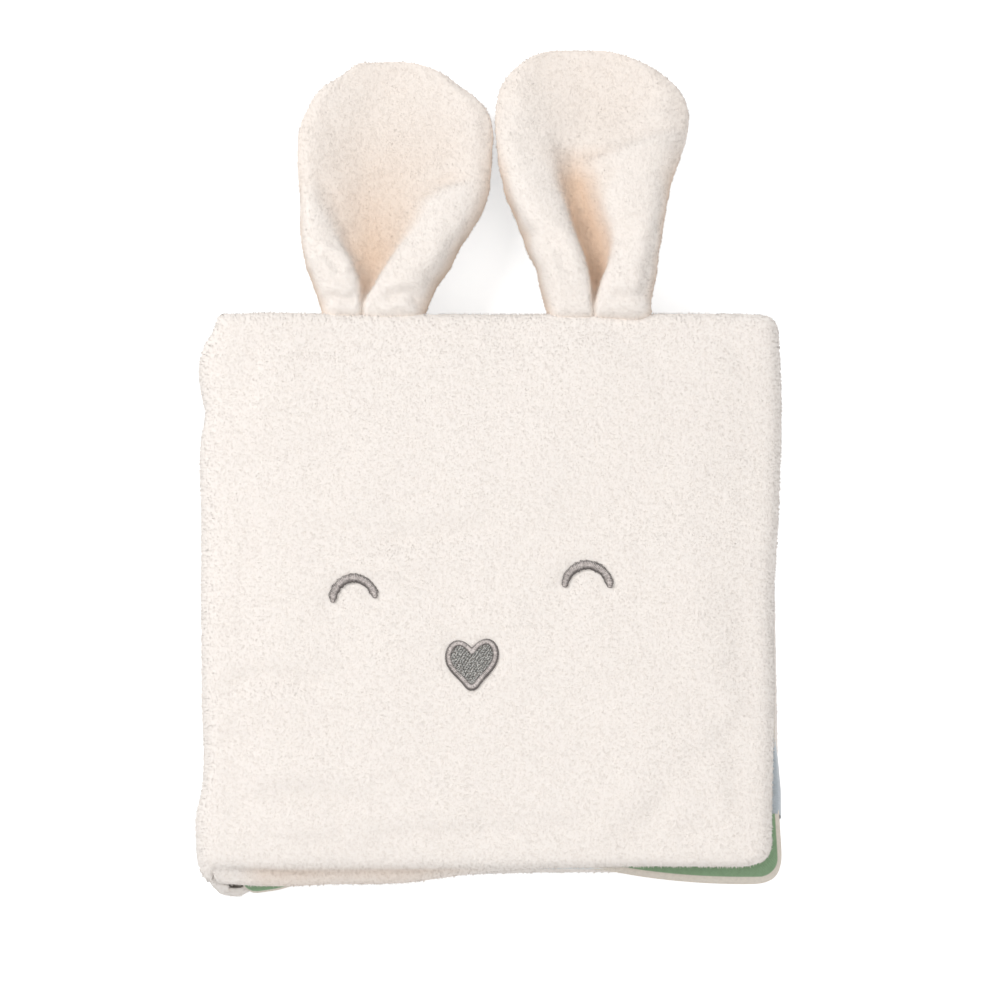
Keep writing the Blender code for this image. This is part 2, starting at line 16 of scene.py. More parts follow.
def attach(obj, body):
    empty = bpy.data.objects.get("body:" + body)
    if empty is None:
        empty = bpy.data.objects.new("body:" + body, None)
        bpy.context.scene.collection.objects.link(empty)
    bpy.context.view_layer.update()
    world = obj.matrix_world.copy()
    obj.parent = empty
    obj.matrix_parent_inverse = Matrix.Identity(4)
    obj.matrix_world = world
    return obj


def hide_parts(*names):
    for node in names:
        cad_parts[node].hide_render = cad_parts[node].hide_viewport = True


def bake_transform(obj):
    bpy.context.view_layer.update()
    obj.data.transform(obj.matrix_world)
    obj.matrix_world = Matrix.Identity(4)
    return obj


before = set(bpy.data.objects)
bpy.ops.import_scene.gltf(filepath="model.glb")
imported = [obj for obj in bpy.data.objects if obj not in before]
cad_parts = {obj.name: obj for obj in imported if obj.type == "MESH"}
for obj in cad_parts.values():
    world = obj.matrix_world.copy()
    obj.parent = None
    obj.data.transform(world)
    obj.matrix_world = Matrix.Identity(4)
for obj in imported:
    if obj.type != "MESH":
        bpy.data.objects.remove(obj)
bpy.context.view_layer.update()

# The stage: a plain pale floor, a white surround, one large soft lamp at the upper left and a weak
# one at the lower right, and a camera at the photograph's angle. None of it is part of the book.
FLOOR_WHITE = 0.86
FLOOR_LIFT = 0.60
SURROUND_LIGHT = 0.565
KEY_WATTS = 11.5
FILL_WATTS = 4.9
CAMERA_LENS = 180.0
CAMERA_ELEVATION = math.radians(72.0)
CAMERA_DISTANCE = 1.31
CAMERA_TARGET = Vector((0.00045, 0.025, 0.0217))


def put(tree, kind, inputs=None, **settings):
    """Adds a node to a tree, sets it, and gives each of its inputs a value or a link."""
    made = tree.nodes.new(kind)
    for name, value in settings.items():
        setattr(made, name, value)
    for key, value in (inputs or {}).items():
        if isinstance(value, bpy.types.NodeSocket):
            tree.links.new(value, made.inputs[key])
        else:
            made.inputs[key].default_value = value
    return made


def maths(tree, operation, *values):
    """What one sum on numbers gives."""
    return put(tree, "ShaderNodeMath", dict(enumerate(values)), operation=operation).outputs[0]


def finish_named(name):
    """A new node material, its tree and its Principled shader."""
    made = bpy.data.materials.new(name)
    made.use_nodes = True
    return made, made.node_tree, made.node_tree.nodes["Principled BSDF"]


def placed(name, mesh, finish):
    """A mesh as an object at the origin, with this finish."""
    mesh.materials.clear()
    mesh.materials.append(finish)
    made = bpy.data.objects.new(name, mesh)
    bpy.context.scene.collection.objects.link(made)
    return made


def seen_directly(tree):
    """1 for rays from the camera, from gloss or through glass, which meet a white surround."""
    path = put(tree, "ShaderNodeLightPath").outputs
    either = maths(tree, "MAXIMUM", path["Is Camera Ray"], path["Is Glossy Ray"])
    return maths(tree, "MAXIMUM", either, path["Is Transmission Ray"])


floor_paint, tree, shader = finish_named("pale floor")
shader.inputs["Base Color"].default_value = (FLOOR_WHITE, FLOOR_WHITE, FLOOR_WHITE, 1)
shader.inputs["Roughness"].default_value = 1.0
lift = maths(tree, "MULTIPLY", seen_directly(tree), FLOOR_LIFT)
glow = put(tree, "ShaderNodeEmission", {"Color": (1, 1, 1, 1), "Strength": lift})
both = put(tree, "ShaderNodeAddShader", {0: shader.outputs[0], 1: glow.outputs[0]})
tree.links.new(both.outputs[0], tree.nodes["Material Output"].inputs["Surface"])

floor_mesh = bpy.data.meshes.new("floor")
floor_mesh.from_pydata([(-3, -3, 0), (3, -3, 0), (3, 3, 0), (-3, 3, 0)], [], [(0, 1, 2, 3)])
placed("floor", floor_mesh, floor_paint)

surround = bpy.data.worlds.new("white surround")
bpy.context.scene.world = surround
surround.use_nodes = True
tree = surround.node_tree
dim = tree.nodes["Background"]
dim.inputs["Strength"].default_value = SURROUND_LIGHT
dim.inputs["Color"].default_value = (1, 1, 1, 1)
bright = put(tree, "ShaderNodeBackground", {"Color": (1, 1, 1, 1), "Strength": 1.0})
lights = {0: seen_directly(tree), 1: dim.outputs[0], 2: bright.outputs[0]}
pick = put(tree, "ShaderNodeMixShader", lights)
tree.links.new(pick.outputs[0], tree.nodes["World Output"].inputs["Surface"])


def soft_lamp(name, place, watts, size):
    """A square lamp that shines on the middle of the book."""
    lamp = bpy.data.lights.new(name, "AREA")
    lamp.energy = watts
    lamp.size = size
    made = bpy.data.objects.new(name, lamp)
    made.location = place
    made.rotation_mode = "QUATERNION"
    made.rotation_quaternion = (-Vector(place)).to_track_quat("-Z", "Y")
    bpy.context.scene.collection.objects.link(made)


soft_lamp("key lamp", (-0.95, 0.55, 1.15), KEY_WATTS, 0.7)
soft_lamp("fill lamp", (0.8, -0.7, 1.2), FILL_WATTS, 1.0)

camera_data = bpy.data.cameras.new("camera")
camera_data.lens = CAMERA_LENS
camera = bpy.data.objects.new("camera", camera_data)
toward = Vector((0, -math.cos(CAMERA_ELEVATION), math.sin(CAMERA_ELEVATION)))
camera.location = CAMERA_TARGET + toward * CAMERA_DISTANCE
camera.rotation_mode = "QUATERNION"
camera.rotation_quaternion = toward.to_track_quat("Z", "Y")
bpy.context.scene.collection.objects.link(camera)
bpy.context.scene.camera = camera
bpy.context.scene.view_settings.view_transform = "Standard"

# Back cover: the padded panel that the book lies on. Cream short-pile plush, turned over wadding at
# its rolled edges, goes on round the left side as the lower half of the spine.
MM = 0.001
PLUSH_TIP = (0.97, 0.91, 0.86)
PLUSH_ROOT = (0.95, 0.88, 0.815)
# The warm darker tone painted into the plush as shade, in its folds, creases and rolled-under
# edges.
PAINTED_FOLD_SHADE = (0.80, 0.60, 0.45)
PLUSH_LEVELS = {
    "Roughness": 0.9,
    "Specular IOR Level": 0.2,
    "Sheen Weight": 0.25,
    "Sheen Roughness": 0.5,
}
PLUSH_SKIN_SHARE = 0.66
PILE_LENGTH = 0.95 * MM
PILE_WIDTH = 0.36 * MM
PILE_PER_AREA = 2.0e6
# A hair is shaded by the ground under it, and by its own shape, which counts more on a wall.
PILE_GROUND_SHARE = 0.84
PILE_OWN_SHARE = 0.08
PILE_WALL_SHARE = 0.22
PILE_UPWARD = 0.12
PAD_STEP = 2.4 * MM
RING_STEP = 0.55 * MM
# How the plush stretches and bends while its padding fills it, and for how long it is followed.
PLUSH_CLOTH = {
    "quality": 5,
    "mass": 0.3,
    "tension_stiffness": 15,
    "compression_stiffness": 15,
    "bending_stiffness": 0.8,
    "shrink_min": -0.012,
    "use_pressure": True,
}
CLOTH_FRAMES = 20
# Rows round a rolled plush edge, from the seam up: how far in from the outline, and the rise share.
PLUSH_EDGE = (
    (1.5, 0.00), (0.55, 0.10), (0.12, 0.24), (0.0, 0.40), (0.25, 0.57), (0.85, 0.73), (1.9, 0.87),
    (3.4, 0.955), (5.4, 0.99),
)
# The spine and back cover in section, from the leaf's seam down and under: outer and inner line.
BACK_OUTER = (
    (-77.1, 12.2), (-77.9, 10.4), (-78.4, 8.0), (-78.4, 5.4), (-77.6, 3.0), (-76.2, 1.35),
    (-74.4, 0.6), (-72.0, 0.35), (-66.0, 0.30), (0.0, 0.30), (60.0, 0.35), (73.0, 0.55),
)
BACK_INNER = (
    (-76.6, 12.2), (-76.6, 10.4), (-76.6, 8.0), (-76.6, 6.0), (-76.0, 4.4), (-75.2, 3.2),
    (-74.2, 2.8), (-72.6, 6.7), (-66.0, 7.0), (0.0, 7.0), (60.0, 6.9), (73.0, 6.6),
)
BACK_HALF_HEIGHT = 73.0 * MM
# How far the back cover and its spine reach at each x, towards the ears and towards the lower edge,
# where the spine's end bulges round the lower left corner.
BACK_HIGH = (
    (-79.5, 65.0), (-78.4, 67.6), (-77.0, 69.4), (-75.5, 70.2), (-73.0, 70.8), (-68.0, 71.2),
    (75.0, 71.2),
)
BACK_LOW = (
    (-79.5, 64.5), (-78.8, 67.6), (-77.9, 70.0), (-76.5, 72.4), (-74.0, 75.0), (-71.0, 76.7),
    (-68.0, 77.4), (-66.2, 77.0), (-64.6, 75.8), (-62.5, 73.9), (-58.0, 72.4), (-20.0, 71.9),
    (0.0, 71.2), (75.0, 71.2),
)
# How far the spine swells to either side along the book, from the lower end up.
SPINE_SWELL = (
    (-76.0, 0.2), (-66.0, 0.5), (-60.0, 0.3), (-52.0, 1.75), (-28.0, 1.3), (0.0, 0.6),
    (21.0, 0.25), (43.0, -0.2), (50.0, 0.7), (54.0, 0.4), (59.0, -0.9), (70.0, -0.9),
)


def pad_grid(half_x, half_y, corner, edge_rows):
    """Places on a flat panel whose rings follow its rounded outline, and each place's rise share.

    The corner radius is one number, or four: low left, low right, high left, high right.
    """
    edge = np.array(edge_rows)
    inset = edge[:, 0] * MM
    rings = len(edge)
    depth = min(half_x, half_y) - inset[-1]
    steps = int(round(depth / PAD_STEP))
    left = 1 - np.arange(1, steps + 1) / steps
    size_x = np.concatenate([half_x - inset, (half_x - inset[-1]) * left])
    size_y = np.concatenate([half_y - inset, (half_y - inset[-1]) * left])
    reach = 1 - np.arange(rings) * RING_STEP / min(half_x, half_y)
    reach = np.concatenate([reach, reach[-1] * left])
    share = np.concatenate([edge[:, 1], np.ones(steps)])
    last = len(reach) - 1
    index = np.arange(2 * last + 1)
    from_edge = np.minimum(index, 2 * last - index)
    signed = reach[from_edge] * np.where(index <= last, -1, 1)
    ring = np.minimum(from_edge[:, None], from_edge[None, :])
    around = np.maximum(reach[ring], 1e-9)
    x = size_x[ring] * signed[:, None] / around
    y = size_y[ring] * signed[None, :] / around
    radii = np.broadcast_to(corner, 4).reshape(2, 2)
    corner = radii[(signed > 0).astype(int)[None, :], (signed > 0).astype(int)[:, None]]
    radius = np.maximum(corner - (half_x - size_x[ring]), corner * 0.3)
    radius = np.minimum(radius, size_x[ring] * 0.5)
    over_x = np.abs(x) - (size_x[ring] - radius)
    over_y = np.abs(y) - (size_y[ring] - radius)
    far = np.hypot(over_x, over_y)
    turn = (over_x > 0) & (over_y > 0) & (far > 1e-9)
    scale = np.where(turn, radius / np.maximum(far, 1e-9), 1)
    x = np.where(turn, np.sign(x) * (size_x[ring] - radius + over_x * scale), x)
    y = np.where(turn, np.sign(y) * (size_y[ring] - radius + over_y * scale), y)
    return x, y, share[ring]


def limited(value):
    """The value kept between 0 and 1."""
    return np.clip(value, 0, 1)


def bell(value, width, middle=0.0):
    """1 at the middle, falling softly to 0 over this width on both sides."""
    return np.exp(-(((value - middle) / width) ** 2))


def smooth_line(at, places, values):
    """A smooth curve through the values, without corners, read at these places."""
    places, values = np.array(places, float), np.array(values, float)
    slope = np.gradient(values, places, axis=0)
    at = np.clip(at, places[0], places[-1])
    k = np.clip(np.searchsorted(places, at) - 1, 0, len(places) - 2)
    width = places[k + 1] - places[k]
    t = (at - places[k]) / width
    if values.ndim > 1:
        t, width = t[..., None], width[..., None]
    return (
        values[k] * (2 * t**3 - 3 * t**2 + 1)
        + slope[k] * width * (t**3 - 2 * t**2 + t)
        + values[k + 1] * (3 * t**2 - 2 * t**3)
        + slope[k + 1] * width * (t**3 - t**2)
    )


def curve(table, at):
    """A table of places and values, read at these places as a smooth curve."""
    return smooth_line(at, *np.array(table).T)


def section_lines(outer, inner):
    """The outer and inner line of a section in metres, and how far each row is along the outer."""
    outer, inner = np.array(outer) * MM, np.array(inner) * MM
    steps = np.linalg.norm(np.diff(outer, axis=0), axis=1)
    return outer, inner, np.concatenate([[0], np.cumsum(steps)])


def outward(mesh):
    """Drops the mesh's loose points, turns its faces outwards and shades them smooth."""
    built = bmesh.new()
    built.from_mesh(mesh)
    loose = [v for v in built.verts if not v.link_faces]
    bmesh.ops.delete(built, geom=loose, context="VERTS")
    if built.calc_volume(signed=True) < 0:
        bmesh.ops.reverse_faces(built, faces=built.faces)
    built.to_mesh(mesh)
    built.free()
    mesh.shade_smooth()
    return mesh


def shell_mesh(name, outer, inner):
    """A closed mesh between two grids of points that share their rim."""
    rows, columns = outer.shape[:2]
    index = np.arange(rows * columns).reshape(rows, columns)
    rim = np.zeros((rows, columns), bool)
    rim[[0, -1], :] = True
    rim[:, [0, -1]] = True
    under = index + rows * columns
    under[rim] = index[rim]
    points = np.concatenate([outer.reshape(-1, 3), inner.reshape(-1, 3)])
    faces = []
    for grid, flip in ((index, False), (under, True)):
        corners = [grid[:-1, :-1], grid[1:, :-1], grid[1:, 1:], grid[:-1, 1:]]
        quads = np.stack(corners, axis=-1).reshape(-1, 4)
        faces.append(quads[:, ::-1] if flip else quads)
    mesh = bpy.data.meshes.new(name)
    mesh.from_pydata(points.tolist(), [], np.concatenate(faces).tolist())
    keep_values(mesh, "grow", np.repeat([1, 0], rows * columns))
    return outward(mesh)


def rows_of(data, key):
    """What each element keeps under a key, as an array with three numbers to a row."""
    found = np.empty(len(data) * 3, np.float32)
    data.foreach_get(key, found)
    return found.reshape(-1, 3).astype(float)


def points_of(mesh):
    """The mesh's points as an array."""
    return rows_of(mesh.vertices, "co")


def normals_of(mesh):
    """The normals at the mesh's points as an array."""
    return rows_of(mesh.vertex_normals, "vector")


def values_of(mesh, name):
    """A number kept at each point of the mesh."""
    found = np.empty(len(mesh.vertices), np.float32)
    mesh.attributes[name].data.foreach_get("value", found)
    return found


def keep_values(mesh, name, values):
    """Keeps a number at each point of the mesh."""
    kept = mesh.attributes.get(name) or mesh.attributes.new(name, "FLOAT", "POINT")
    kept.data.foreach_set("value", np.asarray(values, np.float32))


def move_points(mesh, points):
    """Puts the mesh's points at these places."""
    mesh.vertices.foreach_set("co", np.asarray(points, np.float32).ravel())
    mesh.update()


def above_table(made, least):
    """Keeps the object's points this far above the table."""
    points = points_of(made.data)
    points[:, 2] = np.maximum(points[:, 2], least)
    move_points(made.data, points)


def settled(made):
    """Applies the object's modifiers to its mesh."""
    graph = bpy.context.evaluated_depsgraph_get()
    made.data = bpy.data.meshes.new_from_object(made.evaluated_get(graph))
    made.modifiers.clear()
    return made


def subdivided(made):
    """One smoothing subdivision, applied to the object's mesh."""
    smooth = made.modifiers.new("smooth", "SUBSURF")
    smooth.levels = smooth.render_levels = 1
    settled(made).data.shade_smooth()
    return made


def padded_out(made, free, cap, pressure=3.0):
    """Lets cloth fill out under pressure where free is 1, and keeps what it moves under a cap."""
    mesh = made.data
    before = points_of(mesh)
    trial = bpy.data.objects.new("trial", mesh.copy())
    bpy.context.scene.collection.objects.link(trial)
    held = trial.vertex_groups.new(name="held")
    for i, share in enumerate(1 - free):
        if share > 0:
            held.add([i], float(share), "REPLACE")
    cloth = trial.modifiers.new("cloth", "CLOTH")
    for name, value in {**PLUSH_CLOTH, "uniform_pressure_force": pressure}.items():
        setattr(cloth.settings, name, value)
    cloth.settings.vertex_group_mass = "held"
    cloth.settings.effector_weights.gravity = 0
    cloth.point_cache.frame_start, cloth.point_cache.frame_end = 1, CLOTH_FRAMES
    scene = bpy.context.scene
    for step in range(1, CLOTH_FRAMES + 1):
        scene.frame_set(step)
    graph = bpy.context.evaluated_depsgraph_get()
    after = points_of(trial.evaluated_get(graph).data)
    scene.frame_set(1)
    bpy.data.objects.remove(trial)
    moved = after - before
    far = np.linalg.norm(moved, axis=1, keepdims=True)
    kept = np.tanh(far / cap) * cap / np.maximum(far, 1e-9)
    move_points(mesh, before + moved * kept * free[:, None])


def uneven(points, size, seed):
    """Soft unevenness from -1 to 1 at each point, this large across."""
    shift = Vector((seed * 7.31, seed * 3.17, seed * 5.77))
    return np.array([noise.noise(Vector(p) / size + shift) for p in points])


def slack_of(grid, *layers):
    """Soft unevenness over a grid of points, from layers of a share, a size and a seed."""
    flat = grid.reshape(-1, 3)
    total = sum(share * uneven(flat, size, seed) for share, size, seed in layers)
    return total.reshape(grid.shape[:-1])


def group_of(name, kind, inputs, outputs):
    """A node group with these sockets, and what it is given."""
    tree = bpy.data.node_groups.new(name, kind)
    for label, socket, value in inputs:
        made = tree.interface.new_socket(label, in_out="INPUT", socket_type=f"NodeSocket{socket}")
        if value is not None:
            made.default_value = value
    for label, socket in outputs:
        tree.interface.new_socket(label, in_out="OUTPUT", socket_type=f"NodeSocket{socket}")
    return tree, put(tree, "NodeGroupInput").outputs


def object_place(tree):
    """The place on the object itself."""
    return put(tree, "ShaderNodeTexCoord").outputs["Object"]


def kept_share(tree, name):
    """A number that the mesh keeps at each point, for its material."""
    return put(tree, "ShaderNodeAttribute", attribute_name=name).outputs["Fac"]


def noise_of(tree, where, scale, detail=2.0, roughness=0.5):
    """Noise at these places."""
    inputs = {"Vector": where, "Scale": scale, "Detail": detail, "Roughness": roughness}
    return put(tree, "ShaderNodeTexNoise", inputs).outputs


def ranged(tree, value, start=0.0, end=1.0, low=0.0, high=1.0):
    """A value carried over from one range to another."""
    inputs = {"Value": value, "From Min": start, "From Max": end, "To Min": low, "To Max": high}
    return put(tree, "ShaderNodeMapRange", inputs).outputs["Result"]


def mixed(tree, factor, first, second):
    """The second colour mixed into the first."""
    given = [c if isinstance(c, bpy.types.NodeSocket) else (*c, 1) for c in (first, second)]
    inputs = {"Factor": factor, 6: given[0], 7: given[1]}
    return put(tree, "ShaderNodeMix", inputs, data_type="RGBA").outputs[2]


def vectors(tree, operation, first, second):
    """What one sum on vectors gives; scaling takes a number."""
    inputs = {0: first, "Scale" if operation == "SCALE" else 1: second}
    return put(tree, "ShaderNodeVectorMath", inputs, operation=operation).outputs[0]


def dressed(tree, shader, color, levels, height=None, strength=1.0, distance=MM):
    """Gives the Principled shader its colour, its fixed levels and its fine relief."""
    tree.links.new(color, shader.inputs["Base Color"])
    for name, value in levels.items():
        shader.inputs[name].default_value = value
    if height is not None:
        relief = {"Strength": strength, "Distance": distance, "Height": height}
        tree.links.new(put(tree, "ShaderNodeBump", relief).outputs[0], shader.inputs["Normal"])


def mottle_group():
    """Short pile seen from above: soft patches, clumps and single hairs as a tone and a height."""
    sizes = (("Patch Size", "Float", None), ("Clump Size", "Float", None))
    results = (("Tone", "Float"), ("Height", "Float"))
    made, given = group_of("pile mottle", "ShaderNodeTree", sizes, results)
    where = object_place(made)
    patches, clumps = (
        noise_of(made, where, maths(made, "DIVIDE", 1.0, given[size]), detail, 0.6)["Fac"]
        for size, detail in (("Patch Size", 2.0), ("Clump Size", 3.0))
    )
    both = put(made, "ShaderNodeMix", {"Factor": 0.5, 2: patches, 3: clumps}).outputs[0]
    put(made, "NodeGroupOutput", {"Tone": ranged(made, both, 0.35, 0.65), "Height": clumps})
    return made


pile_mottle = mottle_group()


def plush_finish(name, tip, root, along=None):
    """Plush: the mottled ground of the pile, or its hairs where along names their length share."""
    made, tree, shader = finish_named(name)
    sizes = {"Patch Size": 0.022, "Clump Size": 0.0011}
    mottle = put(tree, "ShaderNodeGroup", sizes, node_tree=pile_mottle).outputs
    amount = ranged(tree, mottle["Tone"], low=0.8)
    if along:
        amount = maths(tree, "MULTIPLY", amount, kept_share(tree, along))
    color = mixed(tree, amount, root, tip)
    # Painted shade: a warm darker tone mixed in by the share that the mesh keeps for its folds and
    # creases.
    color = mixed(tree, kept_share(tree, "painted_fold_shade"), color, PAINTED_FOLD_SHADE)
    height = None if along else mottle["Height"]
    dressed(tree, shader, color, PLUSH_LEVELS, height, 0.5, 0.6 * MM)
    return made


def stored(tree, geometry, name, value, kind="FLOAT"):
    """The geometry with a value kept at each of its points."""
    inputs = {"Geometry": geometry, "Name": name, "Value": value}
    settings = {"data_type": kind, "domain": "POINT"}
    return put(tree, "GeometryNodeStoreNamedAttribute", inputs, **settings).outputs[0]


def random_from(tree, seed, low, high):
    """A seeded random number, or a vector, from low to high."""
    number = isinstance(low, float)
    inputs = {2 if number else 0: low, 3 if number else 1: high, "Seed": seed}
    kind = "FLOAT" if number else "FLOAT_VECTOR"
    return put(tree, "FunctionNodeRandomValue", inputs, data_type=kind).outputs[int(number)]


def repeated(tree, points, shape, rotation, size, finish, smooth=False):
    """Ends a tree: one shape at each point, made real and given its finish."""
    inputs = {"Points": points, "Instance": shape, "Rotation": rotation, "Scale": size}
    many = put(tree, "GeometryNodeInstanceOnPoints", inputs)
    real = put(tree, "GeometryNodeRealizeInstances", {0: many.outputs[0]})
    if smooth:
        real = put(tree, "GeometryNodeSetShadeSmooth", {0: real.outputs[0]})
    painted = {"Geometry": real.outputs[0], "Material": finish}
    finished = put(tree, "GeometryNodeSetMaterial", painted)
    put(tree, "NodeGroupOutput", {0: finished.outputs[0]})
    return tree


def pile_tree():
    """Geometry Nodes: hairs of plush on a mesh, leaning in clumps."""
    sockets = (
        ("Geometry", "Geometry", None),
        ("Per Area", "Float", PILE_PER_AREA),
        ("Length", "Float", PILE_LENGTH),
        ("Width", "Float", PILE_WIDTH),
        ("Lean", "Float", 0.55),
        ("Clump Size", "Float", 1.3 * MM),
        ("Nap", "Vector", (0.0, -0.25, 0.0)),
        ("Seed", "Int", 1),
        ("Finish", "Material", None),
    )
    results = (("Geometry", "Geometry"),)
    tree, given = group_of("plush pile", "GeometryNodeTree", sockets, results)
    seed = given["Seed"]
    kept = put(tree, "GeometryNodeInputNamedAttribute", {"Name": "pile"}, data_type="FLOAT")
    share = kept.outputs["Attribute"]
    density = maths(tree, "MULTIPLY", given["Per Area"], share)
    ground = {"Mesh": given["Geometry"], "Density": density, "Seed": seed}
    scatter = "GeometryNodeDistributePointsOnFaces"
    roots = put(tree, scatter, ground, distribute_method="RANDOM").outputs
    where = put(tree, "GeometryNodeInputPosition").outputs[0]
    clump = noise_of(tree, where, maths(tree, "DIVIDE", 1.0, given["Clump Size"]), 1.0)["Color"]
    centred = vectors(tree, "SUBTRACT", clump, (0.5, 0.5, 0.5))
    leaned = vectors(tree, "SCALE", centred, maths(tree, "MULTIPLY", given["Lean"], 4.0))
    single = random_from(tree, seed, (-0.3, -0.3, -0.3), (0.3, 0.3, 0.3))
    direction = roots["Normal"]
    for more in (leaned, single, given["Nap"]):
        direction = vectors(tree, "ADD", direction, more)
    upright = put(tree, "FunctionNodeAlignRotationToVector", {"Vector": direction}, axis="Z")
    spin = random_from(tree, seed, (0.0, 0.0, 0.0), (0.0, 0.0, 6.28))
    turns = {"Rotation": upright.outputs[0], "Rotate By": spin}
    spun = put(tree, "FunctionNodeRotateRotation", turns, rotation_space="LOCAL")
    cone = {"Vertices": 3, "Side Segments": 1, "Radius Top": 0.0, "Radius Bottom": 0.5}
    cone["Depth"] = 1.0
    hair = put(tree, "GeometryNodeMeshCone", cone, fill_type="NONE").outputs["Mesh"]
    height = put(tree, "ShaderNodeSeparateXYZ", {0: where}).outputs["Z"]
    toned = stored(tree, hair, "along", height)
    reach = maths(tree, "MULTIPLY", given["Length"], random_from(tree, seed, 0.65, 1.15))
    shorter = maths(tree, "MULTIPLY", reach, share)
    size = put(tree, "ShaderNodeCombineXYZ", {0: given["Width"], 1: given["Width"], 2: shorter})
    rooted = stored(tree, roots["Points"], "ground", roots["Normal"], "FLOAT_VECTOR")
    return repeated(tree, rooted, toned, spun.outputs[0], size.outputs[0], given["Finish"])


def with_nodes(name, base, tree, values, finish):
    """The mesh that a Geometry Nodes tree makes from a base mesh, as its own object."""
    made = bpy.data.objects.new(name, base)
    bpy.context.scene.collection.objects.link(made)
    grown = made.modifiers.new("grown", "NODES")
    grown.node_group = tree
    sockets = {s.name: s.identifier for s in tree.interface.items_tree if s.in_out == "INPUT"}
    for key, value in {**values, "Finish": finish}.items():
        grown[sockets[key]] = value
    settled(made).data.name = name
    return made


def pile_on(shell, name, seed, **values):
    """The pile of a plush shell: its hairs, shaded as softly as the ground that they stand on."""
    level = np.abs(normals_of(shell.data)[:, 2])
    keep_values(shell.data, "pile", values_of(shell.data, "pile") * (0.5 + 0.5 * level))
    made = with_nodes(name, shell.data, plush_pile, {"Seed": seed, **values}, hair_finish)
    mesh = made.data
    ground = rows_of(mesh.attributes["ground"].data, "vector")
    mesh.attributes.remove(mesh.attributes["ground"])
    own = normals_of(mesh)
    aside = limited((np.hypot(ground[:, 0], ground[:, 1]) - 0.7) / 0.2)
    # On a wall that overhangs, the ground counts as facing a little up, as its hairs do.
    ground[:, 2] += aside * np.maximum(0.15 - ground[:, 2], 0)
    own *= (PILE_OWN_SHARE + PILE_WALL_SHARE * aside)[:, None]
    soft = ground * PILE_GROUND_SHARE + own + np.array((0, 0, PILE_UPWARD))
    soft /= np.maximum(np.linalg.norm(soft, axis=1, keepdims=True), 1e-9)
    mesh.normals_split_custom_set_from_vertices(soft.tolist())
    made.visible_shadow = False
    return made


plush_pile = pile_tree()
plush = plush_finish("cream plush", PLUSH_TIP, PLUSH_ROOT)
hair_finish = plush_finish("cream plush pile", PLUSH_TIP, PLUSH_ROOT, along="along")


def plush_panel(name, outer, inner, half_height, corner, turn_in):
    """A padded plush panel that goes on round the spine."""
    outer, inner, along = section_lines(outer, inner)
    length = along[-1]
    x, y, share = pad_grid(length / 2, half_height, np.array(corner) * MM, PLUSH_EDGE)
    at = x + length / 2
    where = smooth_line(at, along, outer)
    inside = smooth_line(at, along, inner)
    rise = share[..., None]
    flat = inside + (where - inside) * rise
    under = inside + (where - inside) * rise * PLUSH_SKIN_SHARE
    # At its two ends the spine's plush is turned in towards the covers, which closes its fold.
    near_end = limited((np.abs(y) - half_height + 5 * MM) / (4 * MM))
    far_in = np.where(y < 0, turn_in, 3.6) * MM * limited((-0.0735 - flat[..., 0]) / 0.0015)
    turned_in = far_in * (1 - share) * near_end
    flat[..., 0] += turned_in
    under[..., 0] += turned_in
    inner_y = np.where(share > 0, y * 0.985, y)
    outer_points = np.stack([flat[..., 0], y, flat[..., 1]], axis=-1)
    inner_points = np.stack([under[..., 0], inner_y, under[..., 1]], axis=-1)
    return placed(name, shell_mesh(name, outer_points, inner_points), plush)


def outlined(points, half_height, high, low):
    """The points drawn out to the lines where the panel ends, and the spine swelled."""
    x, y = points[:, 0] / MM, points[:, 1]
    reach = np.where(y > 0, curve(high, x), curve(low, x))
    moved = points.copy()
    moved[:, 1] = y * reach * MM / half_height
    swell = curve(SPINE_SWELL, moved[:, 1] / MM)
    moved[:, 0] += swell * MM * limited((-73.0 - x) / 4.0)
    return moved


back_corners = (1.5, 6.0, 1.5, 6.0)
back_plush = plush_panel(
    "back_cover_padded_plush", BACK_OUTER, BACK_INNER, BACK_HALF_HEIGHT, back_corners, 8.0
)
points = points_of(back_plush.data)
free = values_of(back_plush.data, "grow") * limited((74 * MM - np.abs(points[:, 0])) / 0.01)
free *= limited((2.5 * MM - points[:, 2]) / 0.002)
padded_out(back_plush, free, 0.3 * MM, pressure=1.0)
subdivided(back_plush)
points = outlined(points_of(back_plush.data), BACK_HALF_HEIGHT, BACK_HIGH, BACK_LOW)
points[:, 2] = np.maximum(points[:, 2], 0.25 * MM)
move_points(back_plush.data, points)
grow = values_of(back_plush.data, "grow")
flat_under = limited(points[:, 2] / (1.6 * MM))
keep_values(back_plush.data, "pile", limited(grow * 2 - 0.6) * (0.25 + 0.55 * flat_under))
back_pile = pile_on(back_plush, "back_cover_plush_pile", 3, **{"Per Area": 1.3e6})
above_table(back_pile, 0.1 * MM)
for piece in (back_plush, back_pile):
    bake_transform(piece)
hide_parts("back_cover_plush", "spine_back_half")

# Front cover: the panel with the face. The same plush over wadding, soft with shallow wrinkles; at
# its left it runs on round the spine, and along its lower edge the plush is rolled under.
FRONT_OUTER = (
    (-77.1, 12.5), (-78.0, 14.2), (-78.3, 16.6), (-78.0, 19.0), (-77.1, 21.2), (-75.9, 22.7),
    (-74.6, 23.35), (-73.4, 23.45), (-71.6, 23.75), (-66.0, 23.9), (-40.0, 23.35), (0.0, 22.25),
    (40.0, 21.1), (64.0, 20.1), (73.6, 19.5),
)
FRONT_INNER = (
    (-76.6, 12.5), (-76.6, 14.2), (-76.6, 16.6), (-76.5, 18.6), (-76.1, 20.0), (-75.3, 21.0),
    (-74.4, 21.5), (-73.3, 17.2), (-71.6, 16.35), (-66.0, 16.25), (-40.0, 15.45), (0.0, 14.25),
    (40.0, 13.05), (64.0, 12.35), (73.6, 12.1),
)
FRONT_HALF_HEIGHT = 75.0 * MM
# The front cover falls from the leaf's seam, this far left of the middle, to the fore-edge.
SEAM_LEFT = 0.0765
FRONT_FALL = 0.0302
